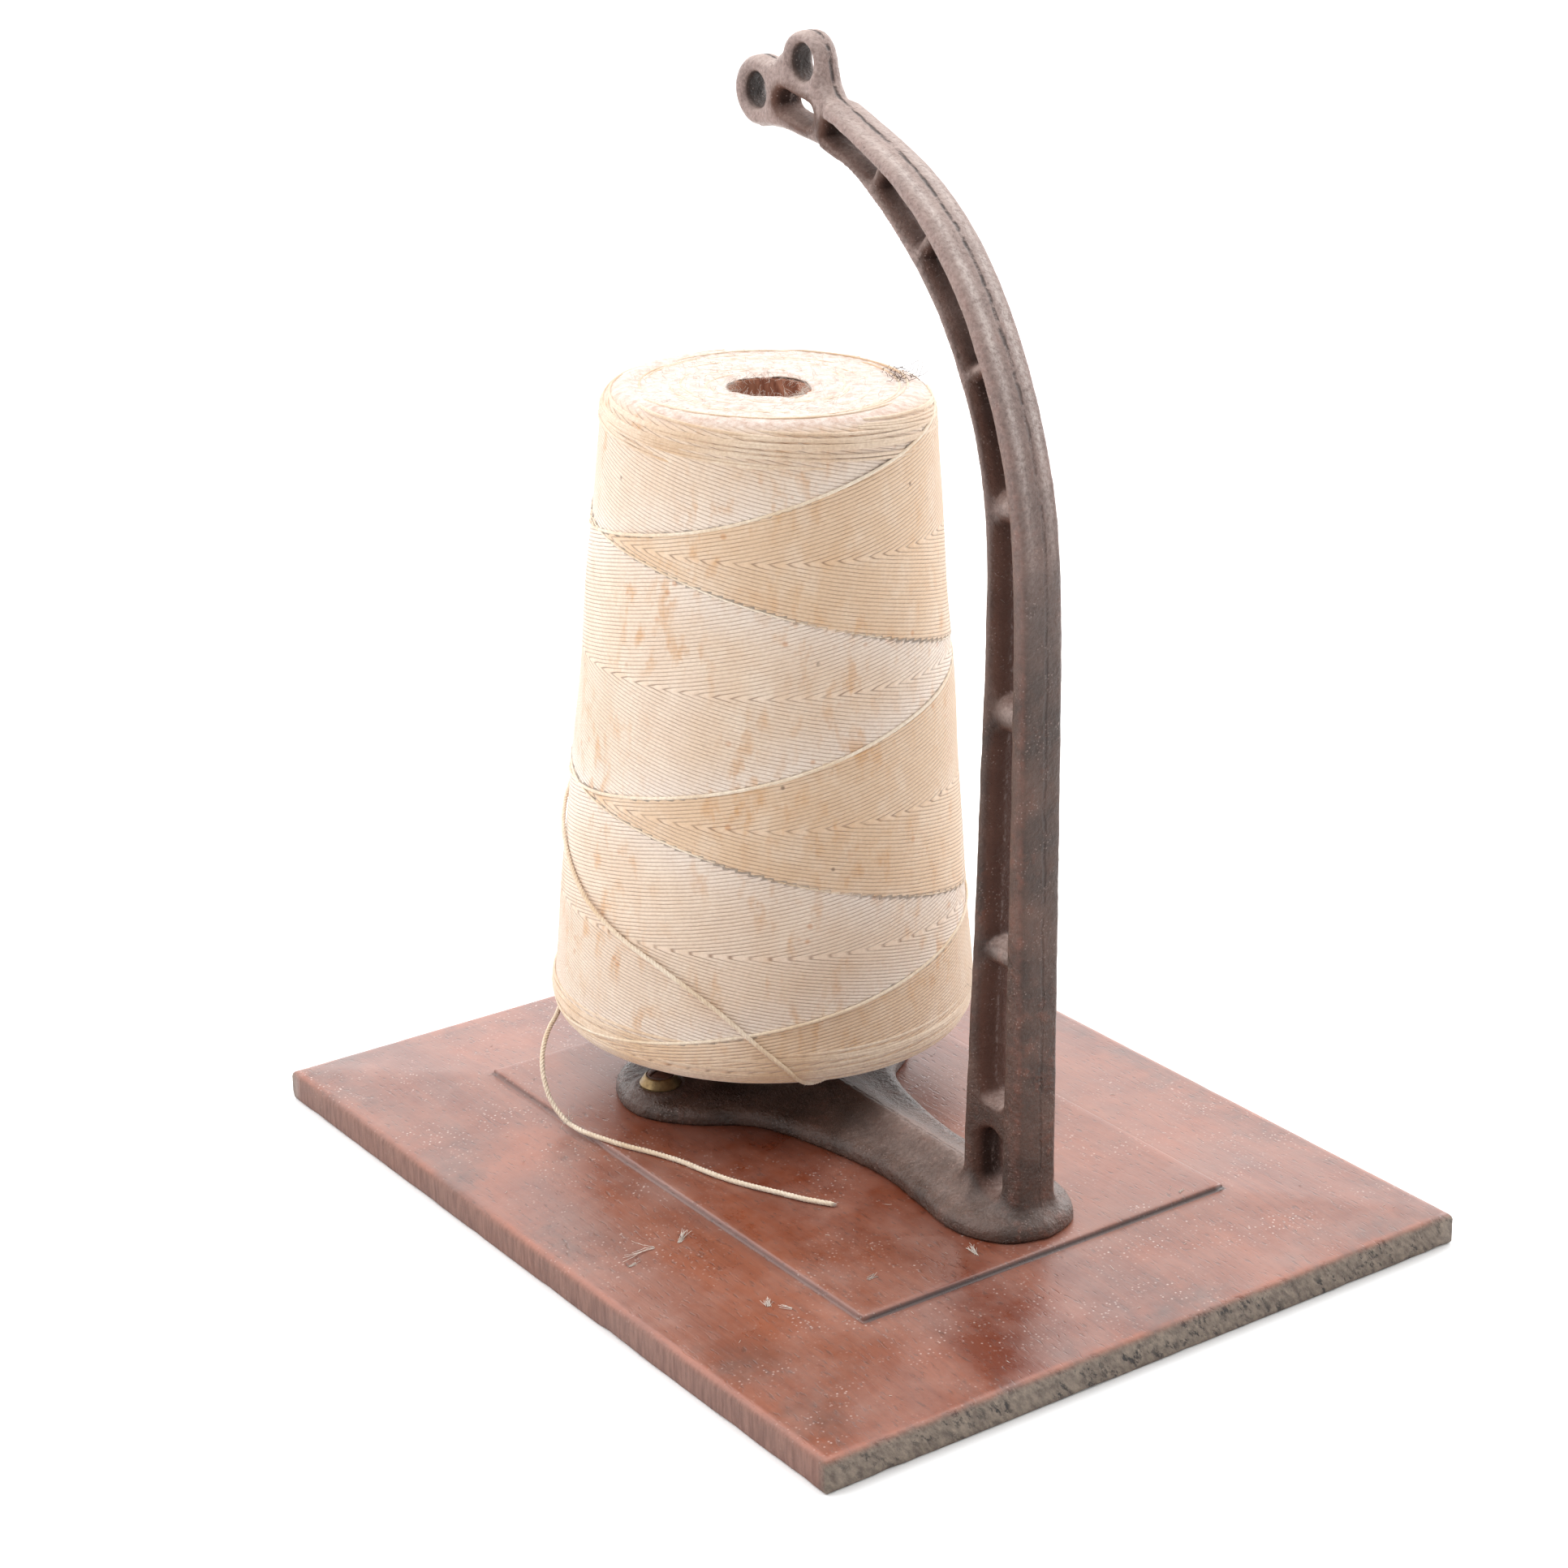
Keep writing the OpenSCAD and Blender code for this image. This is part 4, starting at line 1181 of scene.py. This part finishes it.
def clump(x, y, z, length, heading, n, spread=0.45, thick=0.09):
    h = polar(1, math.radians(heading), 0)
    for _ in range(n):
        start = np.array([x, y, z]) + rng.normal(0, spread, 3) * [1, 1, 0.15]
        line = fibre(start, h + rng.normal(0, 0.12, 3) * [1, 1, 0.2], length * rng.uniform(0.5, 1), 0.14, 6)
        line[:, 2] = np.maximum(line[:, 2], z + 0.05)
        heap.tube(line, thick)


def board_top(x, y):
    inset = min(half_x - abs(x), half_y - abs(y))
    return FIELD_Z if inset > MARGIN + 1 else EDGE_T + inset * slope


for x, y, length, heading, n in [(-92, -33, 7, 40, 26), (-113, -35, 4, 20, 12), (-93, -86, 5, 60, 16),
                                 (-22, -103, 6, 80, 20), (-100, -30, 15, 170, 5), (-60, -95, 4, 10, 8),
                                 (60, -110, 3, 40, 6), (-88, -92, 6, 130, 5)]:
    clump(x, y, board_top(x, y) + 0.1, length, heading, n)
for _ in range(90):
    x, y = rng.uniform(-120, 120), rng.uniform(-160, 150)
    clump(x, y, board_top(x, y) + 0.05, rng.uniform(1, 3), rng.uniform(0, 360), 1, 0.1, 0.07)
lint = heap.build("lint_on_board", PALE_LINT)
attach(lint, "stand")

heap = Heap()
pick = rng.permutation(len(points))[:26000]
placed_hairs = 0
for i in pick:
    n = normals[i]
    p = inside_box[i]
    if n[2] < -0.2 or (p[2] > 60 and rng.random() < 0.55):
        continue
    way = np.cross(n, rng.normal(0, 1, 3))
    line = fibre(p + n * 0.02, way + n * rng.uniform(0.0, 0.5), rng.uniform(0.8, 2.6), 0.3, 4)
    heap.tube(line, 0.035)
    placed_hairs += 1
    if placed_hairs > 1300:
        break
hairs = heap.build("dust_hairs_on_iron", GREY_LINT)
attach(hairs, "stand")

heap = Heap()
knot = loose_line[int(len(loose_line) * 0.36)]
for _ in range(34):
    start, way = knot + rng.normal(0, 0.7, 3), rng.normal(0, 1, 3) + [0, 0, 0.4]
    heap.tube(fibre(start, way, rng.uniform(1.5, 4), 0.5), 0.07)
for _ in range(70):
    q = loose_line[rng.integers(len(loose_line))]
    heap.tube(fibre(q + rng.normal(0, 0.5, 3), rng.normal(0, 1, 3), rng.uniform(0.8, 2.2), 0.4), 0.04)
for _ in range(14):
    start, way = loose_line[-1] + rng.normal(0, 0.3, 3), loose_line[-1] - loose_line[-4]
    heap.tube(fibre(start, way, rng.uniform(0.6, 1.6), 0.2), 0.08)
heap.v = [np.maximum(v, [-np.inf, -np.inf, FIELD_Z + 0.05]) for v in heap.v]
fluff = heap.build("loose_twine_fluff", PALE_LINT)
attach(fluff, "stand")

# ---- the turned pieces keep their CAD shape

TURNED = {"left_rear_screw": RUST, "right_rear_screw": RUST, "front_screw": RUST, "left_cup_washer": BRASS,
          "right_cup_washer": BRASS, "peg": STEEL, "thrust_washer": STEEL, "cone_seat": SEAT}
for name, mat in TURNED.items():
    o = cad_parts[name]
    o.data.materials.clear()
    o.data.materials.append(mat)
